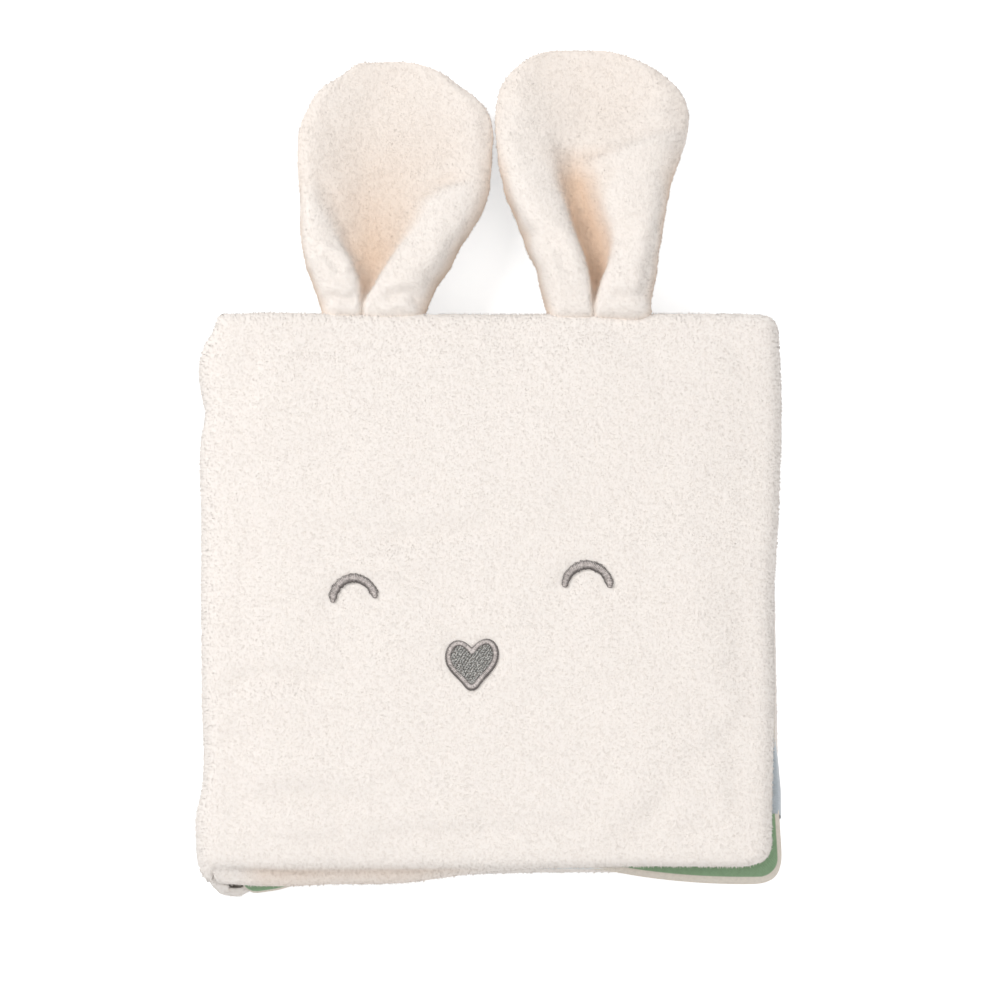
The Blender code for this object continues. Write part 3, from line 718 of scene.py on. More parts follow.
# Its side wall: where its foot is at the seam, how high it is, and at which shares of that
# height the lower edge has its crease and its roll.
FRONT_FOOT = 16.3 * MM
FRONT_WALL = 7.4 * MM
CREASE_RISE = 0.68
ROLL_RISE = 0.30
# How far the front cover and its spine reach at each x, towards the ears and the lower edge.
FRONT_HIGH = (
    (-79.5, 64.6), (-78.8, 66.8), (-77.8, 69.0), (-76.4, 70.9), (-75.4, 72.0), (-74.8, 73.4),
    (-74.2, 76.0), (-73.2, 77.2), (-70.0, 77.5), (-40.0, 77.7), (0.0, 78.1), (40.0, 78.7),
    (70.0, 78.8), (75.0, 78.5),
)
FRONT_LOW = (
    (-79.5, 64.5), (-79.0, 67.4), (-78.2, 70.0), (-77.2, 72.0), (-76.0, 73.4), (-74.6, 74.3),
    (-72.0, 74.9), (-66.0, 75.2), (-40.0, 75.1), (0.0, 74.9), (20.0, 74.5), (40.0, 74.2),
    (75.0, 74.0),
)
# Where the fore-edge stands at each height of the face.
FRONT_SIDE = (
    (-76.0, 70.4), (-60.0, 70.6), (-30.0, 71.7), (0.0, 72.1), (20.0, 73.6), (37.0, 74.5),
    (50.0, 75.0), (66.0, 74.9), (78.0, 74.6),
)
# How far the panel's side leans in under its lower edge, which hides it from above at the right.
LOW_TUCK = (
    (-80.0, 0.0), (-24.0, 0.0), (-14.0, 1.2), (-6.0, 1.9), (2.0, 2.7), (11.0, 3.1), (24.0, 3.6),
    (75.0, 3.6),
)
LOW_ROLL = (
    (-80.0, 1.8), (-72.0, 2.2), (-55.0, 2.3), (-42.0, 1.7), (-30.0, 1.8), (-22.0, 1.8),
    (-14.0, 1.3), (-5.0, 0.6), (10.0, 0.0), (75.0, 0.0),
)
# Shallow wrinkles on the face: ends, half width and depth, all in millimetres.
WRINKLES = (
    ((-52, 13.0), (2, 16.0), 3.4, 0.75),
    ((-50, 8.0), (-18, 11.0), 2.6, 0.45),
    ((-73, -25.5), (-42, -26.5), 3.0, 0.80),
    ((-72, -42.0), (-62, -41.0), 2.6, 0.60),
    ((-68, -54.0), (-26, -60.0), 3.8, 0.75),
    ((-70, 33.0), (-30, 36.0), 5.0, 0.35),
    ((10, 20.0), (60, 24.0), 6.0, 0.30),
    ((30, -20.0), (66, -30.0), 6.0, 0.30),
    ((56, 40.0), (64, -30.0), 5.0, 0.30),
)

front_corners = (1.5, 7.5, 1.5, 4.0)
front_plush = plush_panel(
    "front_cover_padded_plush", FRONT_OUTER, FRONT_INNER, FRONT_HALF_HEIGHT, front_corners, 3.6
)


def front_level(x, at_seam):
    """The height at each x of a plane that falls with the front cover."""
    return at_seam - (x + SEAM_LEFT) * FRONT_FALL


def wrinkled(points, lines):
    """How far each point sinks into soft wrinkles along these lines, and rises beside them."""
    sunk = np.zeros(len(points))
    flat = points[:, :2] / MM
    for start, end, width, depth in lines:
        start, end = np.array(start, float), np.array(end, float)
        run = end - start
        t = (flat - start) @ run / (run @ run)
        aside = (flat - start - np.outer(t, run)) @ np.array((-run[1], run[0])) / np.hypot(*run)
        aside = aside + 1.2 * np.sin(t * 5.0 + start[0])
        fade = limited(np.minimum(t, 1 - t) * 4 + 0.15)
        fade = fade * fade * (3 - 2 * fade)
        valley = bell(aside, width) - 0.55 * bell(np.abs(aside), width, 1.9 * width)
        sunk += depth * MM * fade * valley
    return sunk


points = points_of(front_plush.data)
grow = values_of(front_plush.data, "grow")
inside_x = limited((np.minimum(points[:, 0] + 0.072, 0.070 - points[:, 0])) / 0.008)
inside_y = limited((0.072 - np.abs(points[:, 1])) / 0.008)
free = grow * inside_x * inside_y
padded_out(front_plush, free, 1.3 * MM)
subdivided(front_plush)
points = points_of(front_plush.data)
grow = values_of(front_plush.data, "grow")
top = limited((points[:, 2] - (16.2 * MM - points[:, 0] * 0.03)) / (3 * MM)) * grow
crown = (1 - limited(np.abs(points[:, 0]) / 0.074) ** 2.4) * (
    1 - limited(np.abs(points[:, 1]) / 0.075) ** 2.4
)
points[:, 2] += top * (0.9 * MM * crown - wrinkled(points, WRINKLES))
points[:, 2] += top * 0.35 * MM * uneven(points, 0.017, 1)
# The lower edge rolls under: a crease under the face panel, then a fuller roll at the left.
near_low = limited((-points[:, 1] - 0.067) / 0.007)
low_edge = near_low * grow
side_rise = (points[:, 2] - front_level(points[:, 0], FRONT_FOOT)) / FRONT_WALL
across = points[:, 0] / MM
tuck = curve(LOW_TUCK, across)
roll = curve(LOW_ROLL, across)
crease = bell(side_rise, 0.12, CREASE_RISE) * limited(roll / 2)
round_end = limited((-70 - across) / 4)
spread = np.where(side_rise < ROLL_RISE, 0.22 + 0.6 * round_end, 0.22)
bulge = roll * bell(side_rise, spread, ROLL_RISE) - 0.6 * crease * (1 - round_end)
points = outlined(points, FRONT_HALF_HEIGHT, FRONT_HIGH, FRONT_LOW)
points[:, 1] -= (low_edge * bulge - near_low * tuck * np.clip(1 - side_rise, 0, 1.2)) * MM
fore_edge = curve(FRONT_SIDE, points[:, 1] / MM) / 73.6
points[:, 0] *= 1 + (fore_edge - 1) * limited(points[:, 0] / 0.0736)
move_points(front_plush.data, points)
# Painted shade: a warm darker tone on the side wall along the lower edge, deepest at its foot and
# in its crease, stronger where the roll is fuller and gone at the spine's corner.
painted_edge_shade = 0.42 * limited(1 - side_rise) + 0.3 * bell(side_rise, 0.15, CREASE_RISE)
painted_edge_shade *= limited((across + 67) / 7) * np.clip(roll / 2, 0.15, 1)
keep_values(front_plush.data, "painted_fold_shade", low_edge * painted_edge_shade)

# Left eye, right eye and nose sit here; the pile is stitched down under them.
# Each eye: its middle, half width, rise and tilt in degrees.
EYES = (
    ("left", (-37.8, -0.3), 5.5, 5.7, 6.0),
    ("right", (23.15, 3.75), 5.85, 5.9, 0.0),
)
EYE_STROKE = 2.3
NOSE = (-6.8, -20.75)
NOSE_SIZE = (13.4, 13.2)
FACE_TILT = math.radians(3.4)
STITCHED_DOWN = 0.55 * MM


def eye_line(place, half_width, rise, tilt, steps):
    """The arch of a closed eye on the cover, in millimetres, from its left foot to its right."""
    angle = np.linspace(math.pi, 0, steps)
    x = half_width * np.sign(np.cos(angle)) * np.abs(np.cos(angle)) ** 1.08
    y = rise * np.sin(angle) - rise / 2
    c, s = math.cos(math.radians(tilt)), math.sin(math.radians(tilt))
    return np.stack([place[0] + x * c - y * s, place[1] + x * s + y * c], axis=1)


def heart_line(shrink, steps):
    """The heart nose's outline on the cover, this much smaller all round, in millimetres."""
    angle = np.linspace(0, 2 * math.pi, steps, endpoint=False)
    shares = (0.765, -0.27, -0.118, -0.059)
    rise = sum(share * np.cos((i + 1) * angle) for i, share in enumerate(shares))
    low, high = rise.min(), rise.max()
    out = np.abs(np.sin(angle))
    blunt = 3.0 * out**0.8 * bell(angle, 0.45, math.pi) * (1 - shrink / 2.6)
    x = np.sign(np.sin(angle)) * ((NOSE_SIZE[0] / 2 - shrink) * out**2.1 + blunt)
    y = (NOSE_SIZE[1] - 2 * shrink) * ((rise - low) / (high - low) - 0.5)
    return np.stack([NOSE[0] + x, NOSE[1] + y + x * math.tan(FACE_TILT)], axis=1)


def nearest(flat, line):
    """How far each flat place is from a line of places."""
    return np.min(np.linalg.norm(flat[:, None, :] - line[None, :, :], axis=2), axis=1)


def in_outline(flat, line):
    """True where a flat place lies inside a closed line."""
    x, y = flat[:, 0], flat[:, 1]
    found = np.zeros(len(flat), bool)
    for (x0, y0), (x1, y1) in zip(line, np.roll(line, -1, axis=0)):
        crosses = (y0 > y) != (y1 > y)
        found ^= crosses & (x < (x1 - x0) * (y - y0) / (y1 - y0 + 1e-12) + x0)
    return found


points = points_of(front_plush.data)
flat = points[:, :2] / MM
far = np.full(len(flat), 99.0)
for _, *shape in EYES:
    far = np.minimum(far, nearest(flat, eye_line(*shape, 40)) - EYE_STROKE / 2)
heart = heart_line(0, 80)
far = np.minimum(far, np.where(in_outline(flat, heart), -1, nearest(flat, heart)))
upper = points[:, 2] > 18 * MM
points[:, 2] -= np.where(upper, STITCHED_DOWN * bell(np.maximum(far, 0), 2.2), 0)
move_points(front_plush.data, points)
pile = limited(grow * 2 - 0.6)
pile = np.where(upper & (far < 0.1), 0, pile)
keep_values(front_plush.data, "pile", pile)
front_pile = pile_on(front_plush, "front_cover_plush_pile", 11)
for piece in (front_plush, front_pile):
    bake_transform(piece)
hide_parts("front_cover_plush", "spine_front_half")

# Leaf: one padded page of printed cotton, green with cream sprigs in front and cream with small
# dots behind, sewn edge to edge round thin wadding and crinkle film, and crumpled a little.
LEAF_GREEN = (0.29, 0.44, 0.27)
LEAF_SPRIG = (0.56, 0.64, 0.50)
LEAF_CREAM = (0.84, 0.77, 0.68)
LEAF_BLUE = (0.34, 0.42, 0.47)
LEAF_TILT = math.tan(math.radians(0.961))
# The leaf's middle plane lies this high at its seam. Its flat panel, in millimetres: half its
# width and height, the radius of its corners, and how far it reaches on the left.
LEAF_LEVEL = 12 * MM
LEAF_HALF_X = 73
LEAF_HALF_Y = 74
LEAF_CORNER = 6
LEAF_LEFT = 72.4
LEAF_HALF_THICKNESS = 1.85
LEAF_CLOTH = 0.45
LEAF_SEAM_GAP = 0.14
COTTON_EDGE = ((0.7, 0.0), (0.2, 0.3), (0.0, 0.55), (0.3, 0.8), (1.1, 0.94), (2.4, 1.0))
# The lower edge of the leaf, from the spine to the fore-edge: its corners droop out of the book.
LEAF_LOW_X = (-73, -68.5, -66.8, -65, -61, -57, -50, -42, 0, 27, 38, 50, 62, 75)
LEAF_LOW_Y = (
    -71.5, -72.8, -75.6, -77.2, -77, -76.6, -74.6, -72.2, -71.2, -71.7, -73.5, -74.7, -75, -74.8,
)
LEAF_SIDE_Y = (-76, -70, -60, -50, 0, 76)
LEAF_SIDE_X = (73.4, 73.4, 73.0, 72.5, 72.2, 72.2)
LEAF_BORDER = 1.25


def weave_group():
    """Plain woven cotton: crossing threads as a height, and slubs as a tone."""
    results = (("Tone", "Float"), ("Height", "Float"))
    sizes = (("Thread", "Float", None),)
    made, given = group_of("cotton weave", "ShaderNodeTree", sizes, results)
    where = object_place(made)
    spread = vectors(made, "SCALE", where, maths(made, "DIVIDE", math.pi, given[0]))
    waves = put(made, "ShaderNodeVectorMath", {0: spread}, operation="SINE")
    parts = put(made, "ShaderNodeSeparateXYZ", {0: waves.outputs[0]}).outputs
    cross = maths(made, "MULTIPLY", parts["X"], parts["Y"])
    slub = noise_of(made, where, 900.0, 3.0)["Fac"]
    put(made, "NodeGroupOutput", {"Tone": slub, "Height": cross})
    return made


cotton_weave = weave_group()


def cotton_finish(name, ground, motif, size, share, order, thread=0.00042, border=None):
    """Printed cotton: small motifs this far apart on a ground, and a plain border if it has one."""
    made, tree, shader = finish_named(name)
    flat = vectors(tree, "MULTIPLY", object_place(tree), (1.0, 1.0, 0.0))
    bend = noise_of(tree, flat, 260.0)["Color"]
    moved = vectors(tree, "ADD", flat, vectors(tree, "SCALE", bend, 0.0022))
    spots = {"Vector": moved, "Scale": 1 / size, "Randomness": 1 - order}
    cells = put(tree, "ShaderNodeTexVoronoi", spots, voronoi_dimensions="2D")
    shown = ranged(tree, cells.outputs["Distance"], share, share * 0.88)
    weave = put(tree, "ShaderNodeGroup", {"Thread": thread}, node_tree=cotton_weave).outputs
    if border:
        inward = kept_share(tree, "inward")
        shown = maths(tree, "MULTIPLY", shown, ranged(tree, inward, 6.0, 7.0))
    color = mixed(tree, shown, ground, motif)
    if border:
        rim = ranged(tree, inward, LEAF_BORDER + 0.12, LEAF_BORDER - 0.12)
        color = mixed(tree, rim, color, border)
    color = vectors(tree, "SCALE", color, ranged(tree, weave["Tone"], 0.3, 0.7, 0.9))
    levels = {"Roughness": 0.8, "Specular IOR Level": 0.25, "Sheen Weight": 0.1}
    dressed(tree, shader, color, levels, weave["Height"], 0.35, 0.12 * MM)
    return made


def leaf_low(x):
    """How far out the leaf's lower edge is at each x, as a share of half its height."""
    return smooth_line(x, np.array(LEAF_LOW_X) * MM, np.array(LEAF_LOW_Y) / -LEAF_HALF_Y)


def leaf_right(y):
    """How far out its fore-edge is at each height, as a share of half its width."""
    return smooth_line(y, np.array(LEAF_SIDE_Y) * MM, np.array(LEAF_SIDE_X) / LEAF_HALF_X)


def leaf_middle(x):
    """The height of the leaf's middle plane at each x."""
    return LEAF_LEVEL - (x + SEAM_LEFT) * LEAF_TILT


def leaf_half(name, side, finish):
    """One printed face of the leaf, a shallow shell that meets the other at the seam."""
    x, y, share = pad_grid(LEAF_HALF_X * MM, LEAF_HALF_Y * MM, LEAF_CORNER * MM, COTTON_EDGE)
    y = np.where(y < 0, y * leaf_low(x), y)
    x = np.where(x > 0, x * leaf_right(y), x * (LEAF_LEFT / LEAF_HALF_X))
    middle = leaf_middle(x)
    crumple = slack_of(np.stack([x, y, middle], axis=-1), (1, 0.013, 5), (0.6, 0.0055, 6))
    middle += share * 0.22 * MM * crumple
    out = limited((-y - 0.0725) / 0.004)
    droop_left = limited((-0.045 - x) / 0.015) * 3.2
    droop_right = limited((x - 0.045) / 0.015) * 1.2
    middle -= out * (droop_left + droop_right) * MM
    ends = []
    for thick in (LEAF_HALF_THICKNESS, LEAF_HALF_THICKNESS - LEAF_CLOTH):
        rise = side * (LEAF_SEAM_GAP + (thick - LEAF_SEAM_GAP) * share) * MM
        ends.append(np.stack([x, y, middle + rise], axis=-1))
    ends[1][..., 1] *= 0.99
    made = subdivided(placed(name, shell_mesh(name, *ends), finish))
    points = points_of(made.data)
    x, y = points[:, 0], points[:, 1]
    flat_x = np.where(x > 0, x / leaf_right(y), x * (LEAF_HALF_X / LEAF_LEFT)) / MM
    flat_y = np.where(y < 0, y / leaf_low(x), y) / MM
    over_x = np.abs(flat_x) - (LEAF_HALF_X - LEAF_CORNER)
    over_y = np.abs(flat_y) - (LEAF_HALF_Y - LEAF_CORNER)
    beyond = np.hypot(np.maximum(over_x, 0), np.maximum(over_y, 0))
    no_rim = 1.5 * limited((-0.045 - x) / 0.01) * (y < -0.05)
    inward = LEAF_CORNER - beyond - np.minimum(np.maximum(over_x, over_y), 0) + no_rim
    keep_values(made.data, "inward", inward)
    return made


sprigs = cotton_finish(
    "green sprig cotton", LEAF_GREEN, LEAF_SPRIG, 0.011, 0.24, 0.35, border=LEAF_CREAM
)
dots = cotton_finish(
    "cream dot cotton", LEAF_CREAM, LEAF_BLUE, 0.009, 0.20, 0.85, border=LEAF_CREAM
)
leaf_pieces = (
    ("leaf_front_printed_cotton", 1, sprigs, "leaf_front_print"),
    ("leaf_back_printed_cotton", -1, dots, "leaf_back_print"),
)
for name, side, finish, node in leaf_pieces:
    piece = leaf_half(name, side, finish)
    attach(piece, "leaf")
    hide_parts(node)

# Binding tape: a woven cotton strip folded over the leaf's left edge, which carries the leaf inside
# the spine. Two rows of running stitches go through it.
TAPE_SECTION = (
    (-76.5, 0.0), (-76.2, 0.55), (-75.2, 0.7), (-74.0, 0.75), (-73.0, 1.1), (-72.0, 1.9),
    (-70.6, 2.1), (-70.4, 1.7), (-71.8, 1.3), (-72.4, 0.6), (-72.4, -0.6), (-71.8, -1.3),
    (-70.4, -1.7), (-70.6, -2.1), (-72.0, -1.9), (-73.0, -1.1), (-74.0, -0.75), (-75.2, -0.7),
    (-76.2, -0.55),
)
TAPE_HALF_LENGTH = 70 * MM
STITCH_ROWS = (-74.9, -73.9)
STITCH_PITCH = 3.0 * MM


def swept_strip(name, section, ends, steps, finish, bend):
    """A closed strip with this section of (x, z) along Y, laid in its place by bend."""
    places = np.linspace(ends[0], ends[1], steps)
    count = len(section)
    points = []
    for y in places:
        taper = min(1.0, 0.35 + (min(y - ends[0], ends[1] - y) / (0.8 * MM)))
        for x, z in section:
            points.append(bend(Vector((x, y, z * taper))))
    faces = []
    for i in range(steps - 1):
        for j in range(count):
            k = (j + 1) % count
            faces.append((i * count + j, i * count + k, (i + 1) * count + k, (i + 1) * count + j))
    faces.append(tuple(reversed(range(count))))
    faces.append(tuple(range((steps - 1) * count, steps * count)))
    mesh = bpy.data.meshes.new(name)
    mesh.from_pydata(points, [], faces)
    outward(mesh)
    mesh.set_sharp_from_angle(angle=math.radians(50))
    return placed(name, mesh, finish)


def tape_place(point):
    """The tape's section lies on the leaf's own middle plane."""
    x, z = point.x * MM, point.z * MM
    wave = 0.12 * MM * noise.noise(Vector((x * 300, point.y * 220, z * 90)))
    return Vector((x, point.y, leaf_middle(x) + z + wave))


tape_cotton = cotton_finish(
    "cream tape cotton", (0.80, 0.74, 0.66), (0.76, 0.70, 0.62), 0.02, 0.2, 0.5, 0.0007
)
tape_ends = (-TAPE_HALF_LENGTH, TAPE_HALF_LENGTH)
tape = swept_strip(
    "leaf_folded_binding_tape", TAPE_SECTION, tape_ends, 90, tape_cotton, tape_place
)
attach(tape, "leaf")
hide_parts("leaf_binding_tape")


def stitch_tree():
    """Geometry Nodes: a thread at each point, laid along its run, with blunt ends that dive in."""
    sockets = (
        ("Geometry", "Geometry", None),
        ("Thickness", "Float", 0.4 * MM),
        ("Rise", "Float", 0.4 * MM),
        ("Seed", "Int", 1),
        ("Finish", "Material", None),
    )
    results = (("Geometry", "Geometry"),)
    tree, given = group_of("thread stitches", "GeometryNodeTree", sockets, results)
    seed = given["Seed"]
    kept = put(tree, "GeometryNodeInputNamedAttribute", {"Name": "run"}, data_type="FLOAT_VECTOR")
    run = kept.outputs["Attribute"]
    length = put(tree, "ShaderNodeVectorMath", {0: run}, operation="LENGTH").outputs["Value"]
    along = put(tree, "FunctionNodeAlignRotationToVector", {"Vector": run}, axis="X").outputs[0]
    width = maths(tree, "MULTIPLY", given["Thickness"], random_from(tree, seed, 0.9, 1.12))
    size = put(tree, "ShaderNodeCombineXYZ", {0: length, 1: width, 2: given["Rise"]})
    thread = put(tree, "GeometryNodeMeshUVSphere", {"Segments": 8, "Rings": 7, "Radius": 0.5})
    place = put(tree, "GeometryNodeInputPosition").outputs[0]
    parts = put(tree, "ShaderNodeSeparateXYZ", {0: place}).outputs
    far = maths(tree, "ABSOLUTE", maths(tree, "MULTIPLY", parts["Z"], 2.0))
    half = maths(tree, "MULTIPLY", maths(tree, "POWER", far, 0.75), 0.5)
    pulled = maths(tree, "MULTIPLY", half, maths(tree, "SIGN", parts["Z"]))
    laid = put(tree, "ShaderNodeCombineXYZ", {0: pulled, 1: parts["Y"], 2: parts["X"]})
    lying = {"Geometry": thread.outputs[0], "Position": laid.outputs[0]}
    turned = put(tree, "GeometryNodeSetPosition", lying).outputs[0]
    # How far out from its middle each part of a thread lies, which its finish uses for painted
    # shade at the ends.
    from_middle = maths(tree, "ABSOLUTE", maths(tree, "MULTIPLY", parts["X"], 2.0))
    toned = stored(tree, turned, "ends", from_middle)
    varied = stored(tree, given["Geometry"], "tone", random_from(tree, seed, 0.0, 1.0))
    return repeated(tree, varied, toned, along, size.outputs[0], given["Finish"], smooth=True)


thread_stitches = stitch_tree()


def stitched(name, places, runs, finish, thickness, rise, seed):
    """Threads at these places, each laid along its run, as one mesh."""
    mesh = bpy.data.meshes.new(name)
    mesh.from_pydata(np.asarray(places).tolist(), [], [])
    kept = mesh.attributes.new("run", "FLOAT_VECTOR", "POINT")
    kept.data.foreach_set("vector", np.asarray(runs, np.float32).ravel())
    sizes = {"Thickness": thickness, "Rise": rise, "Seed": seed}
    return with_nodes(name, mesh, thread_stitches, sizes, finish)


def thread_finish(name, light, dark):
    """Sewing thread: fine plies, a little glossy, with painted shade darkening each stitch toward
    its ends, where it dives into the pile.
    """
    made, tree, shader = finish_named(name)
    ply = noise_of(tree, object_place(tree), 2600.0, 2.0, 0.6)["Fac"]
    amount = ranged(tree, ply, 0.30, 0.50)
    # Painted shade: each stitch darkens from about a third of the way out to its ends.
    inward = ranged(tree, kept_share(tree, "ends"), 0.35, 0.85, 1.0, 0.1)
    varied = ranged(tree, kept_share(tree, "tone"), low=0.7)
    for factor in (inward, varied):
        amount = maths(tree, "MULTIPLY", amount, factor)
    levels = {"Roughness": 0.5, "Sheen Weight": 0.15}
    dressed(tree, shader, mixed(tree, amount, dark, light), levels, ply, 0.5, 0.08 * MM)
    return made


places, runs = [], []
for row in STITCH_ROWS:
    for y in np.arange(-TAPE_HALF_LENGTH + 3 * MM, TAPE_HALF_LENGTH - 2 * MM, STITCH_PITCH):
        for side in (1, -1):
            spot = tape_place(Vector((row, y, side * 0.82)))
            places.append(tuple(spot))
            runs.append((0, STITCH_PITCH * 0.72, 0))
sewing = thread_finish("cream sewing thread", (0.86, 0.80, 0.72), (0.66, 0.59, 0.51))
row_stitches = stitched("binding_running_stitches", places, runs, sewing, 0.42 * MM, 0.36 * MM, 4)
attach(row_stitches, "leaf")
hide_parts("binding_stitching")

# Ribbon tag: a grey-blue satin ribbon folded once, its two ends sewn into the leaf's right seam. It
# bends down over the leaf's edge, further out at its lower end.
RIBBON_PATH = (
    (70.7, 11.4), (71.6, 11.4), (72.5, 11.2), (73.2, 10.5), (73.7, 9.4), (73.9, 7.6), (73.8, 6.0),
    (73.5, 5.7), (73.3, 6.2), (73.2, 7.6), (72.9, 8.9), (72.3, 9.9), (71.6, 10.5), (70.7, 10.6),
)
RIBBON_SEAM = 70.7
RIBBON_SPAN = (-57.0, -35.0)
# How much of its reach the ribbon has at some heights: it lies in further at its upper end.
RIBBON_OUT_Y = (-57, -50, -42, -35)
RIBBON_OUT = (0.82, 0.84, 0.66, 0.4)
RIBBON_WEAVE = 0.2 * MM
RIBBON_BLUE = (0.47, 0.52, 0.56)


def satin_finish():
    """Satin: long floating threads across the ribbon, with a soft streaked gloss."""
    made, tree, shader = finish_named("grey-blue satin")
    drawn = vectors(tree, "MULTIPLY", object_place(tree), (0.12, 1.0, 0.12))
    floats = noise_of(tree, drawn, 5200.0)["Fac"]
    shade = ranged(tree, floats, 0.3, 0.7, 0.86, 1.08)
    levels = {"Roughness": 0.34, "Anisotropic": 0.5, "Sheen Weight": 0.2}
    color = vectors(tree, "SCALE", RIBBON_BLUE, shade)
    dressed(tree, shader, color, levels, floats, 0.3, 0.05 * MM)
    return made


path = np.array(RIBBON_PATH)
run = np.concatenate([[0], np.cumsum(np.linalg.norm(np.diff(path, axis=0), axis=1))])
fine = smooth_line(np.linspace(0, run[-1], 44), run, path)
across = np.linspace(RIBBON_SPAN[0], RIBBON_SPAN[1], 34)
points, faces = [], []
for y in across:
    out = np.interp(y, RIBBON_OUT_Y, RIBBON_OUT)
    for x, z in fine:
        out_x = RIBBON_SEAM + (x - RIBBON_SEAM) * out
        points.append((out_x * MM, y * MM, (z + 0.1 * math.sin(y * 0.7)) * MM))
for i in range(len(across) - 1):
    for j in range(len(fine) - 1):
        a = i * len(fine) + j
        faces.append((a, a + 1, a + len(fine) + 1, a + len(fine)))
ribbon_mesh = bpy.data.meshes.new("ribbon_satin_tag")
ribbon_mesh.from_pydata(points, [], faces)
ribbon = placed("ribbon_satin_tag", ribbon_mesh, satin_finish())
thick = ribbon.modifiers.new("wall", "SOLIDIFY")
thick.thickness = RIBBON_WEAVE
thick.offset = 0
settled(ribbon).data.shade_smooth()
ribbon.data.set_sharp_from_angle(angle=math.radians(50))
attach(ribbon, "leaf")
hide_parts("ribbon_tag")

# Linings: printed cotton panels that close the two covers from the inside, slightly slack.
LINING_WALL = 0.3
LINING_HALF_X = 70.6 * MM
LINING_LEFT = 1.4 * MM
LINING_CORNER = 6 * MM
FRONT_LINING_LEVEL = 16.75 * MM
BACK_LINING_LEVEL = 6.72 * MM
FRONT_LINING = (0.50, 0.57, 0.60)
BACK_LINING = (0.76, 0.70, 0.61)


def lining_panel(name, middle, half_height, finish):
    """A lining on a cover's inner side; middle gives its height at each x."""
    x, y, share = pad_grid(LINING_HALF_X, half_height, LINING_CORNER, COTTON_EDGE)
    x = x - LINING_LEFT
    level = middle(x)
    slack = slack_of(np.stack([x, y, level], axis=-1), (1, 0.016, 8), (0.5, 0.006, 9))
    level = level + share * slack * 0.16 * MM
    faces = [np.stack([x, y, level + side * share * LINING_WALL * MM], axis=-1) for side in (1, -1)]
    return subdivided(placed(name, shell_mesh(name, *faces), finish))


dashes = cotton_finish("blue dash cotton", FRONT_LINING, LEAF_CREAM, 0.012, 0.17, 0.6)
leaves = cotton_finish("cream leaf cotton", BACK_LINING, LEAF_GREEN, 0.013, 0.16, 0.4)
linings = (
    ("front_cover", lambda x: front_level(x, FRONT_LINING_LEVEL), 71.0 * MM, dashes),
    ("back_cover", lambda x: BACK_LINING_LEVEL + 0 * x, 70.4 * MM, leaves),
)
for body, middle, half_height, finish in linings:
    piece = lining_panel(f"{body}_printed_lining", middle, half_height, finish)
    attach(piece, body)
    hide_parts(f"{body}_lining")

# Inside the covers and the leaf: polyester wadding and a sheet of crinkle film in each, shut in by
# the plush and the linings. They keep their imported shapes.
WADDING_WHITE = (0.88, 0.88, 0.86)
WADDING_GREY = (0.7, 0.7, 0.68)
FILM_TINT = (0.80, 0.84, 0.87)
FILM_CREASE = (0.9, 0.93, 0.95)

fibre, tree, shader = finish_named("polyester wadding")
tangle = noise_of(tree, object_place(tree), 700.0, 6.0)["Fac"]
color = mixed(tree, ranged(tree, tangle, low=0.8), WADDING_GREY, WADDING_WHITE)
dressed(tree, shader, color, {"Roughness": 1.0}, tangle, distance=0.8 * MM)

crinkle, tree, shader = finish_named("crinkle film")
sheet = {"Vector": object_place(tree), "Scale": 110.0}
creases = put(tree, "ShaderNodeTexVoronoi", sheet, feature="DISTANCE_TO_EDGE").outputs["Distance"]
color = mixed(tree, creases, FILM_CREASE, FILM_TINT)
dressed(tree, shader, color, {"Roughness": 0.25}, creases, distance=0.6 * MM)

for slot_name, finish in (("wadding", fibre), ("crinkle_film", crinkle)):
    for body in ("back_cover", "front_cover", "leaf"):
        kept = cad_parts[f"{body}_{slot_name}"]
        kept.data.materials.clear()
        kept.data.materials.append(finish)

# Embroidered face: two closed eyes in satin stitch across the stroke, and a heart nose with a satin
# border round short fill stitches. Grey thread, sewn down through the pile of the front cover.
EYE_LENGTH = 18.2 * MM
EYE_STITCH = 0.40 * MM
BORDER_STITCH = 1.15
BORDER_STITCHES = 128
FILL_PITCH = 0.42
SATIN_RISE = 0.95 * MM

face_ground = BVHTree.FromObject(front_plush, bpy.context.evaluated_depsgraph_get())
grey_thread = thread_finish("light grey thread", (0.80, 0.73, 0.70), (0.19, 0.165, 0.155))
dark_thread = thread_finish("dark grey thread", (0.63, 0.61, 0.58), (0.072, 0.078, 0.072))
# A dark thread used only for painted shadow strokes along the edges of the stitching.
painted_shadow_thread = thread_finish("painted shadow grey thread", (0.24, 0.215, 0.205), (0.15, 0.135, 0.13))


def on_face(flat, lift):
    """The places on the front cover's plush under flat places in millimetres, raised by lift."""
    found = []
    for x, y in flat:
        hit = face_ground.ray_cast(Vector((x * MM, y * MM, 0.05)), Vector((0, 0, -1)))[0]
        found.append((hit.x, hit.y, hit.z + lift))
    return np.array(found)


def across_line(line, width, slant=0.0):
    """For each place of a line, the stitch that crosses it, and the line's normal."""
    along = np.gradient(line, axis=0)
    along /= np.linalg.norm(along, axis=1, keepdims=True)
    normal = np.stack([-along[:, 1], along[:, 0]], axis=1)
    run = normal + slant * along
    run = run / np.linalg.norm(run, axis=1, keepdims=True) * width[:, None]
    return run, normal


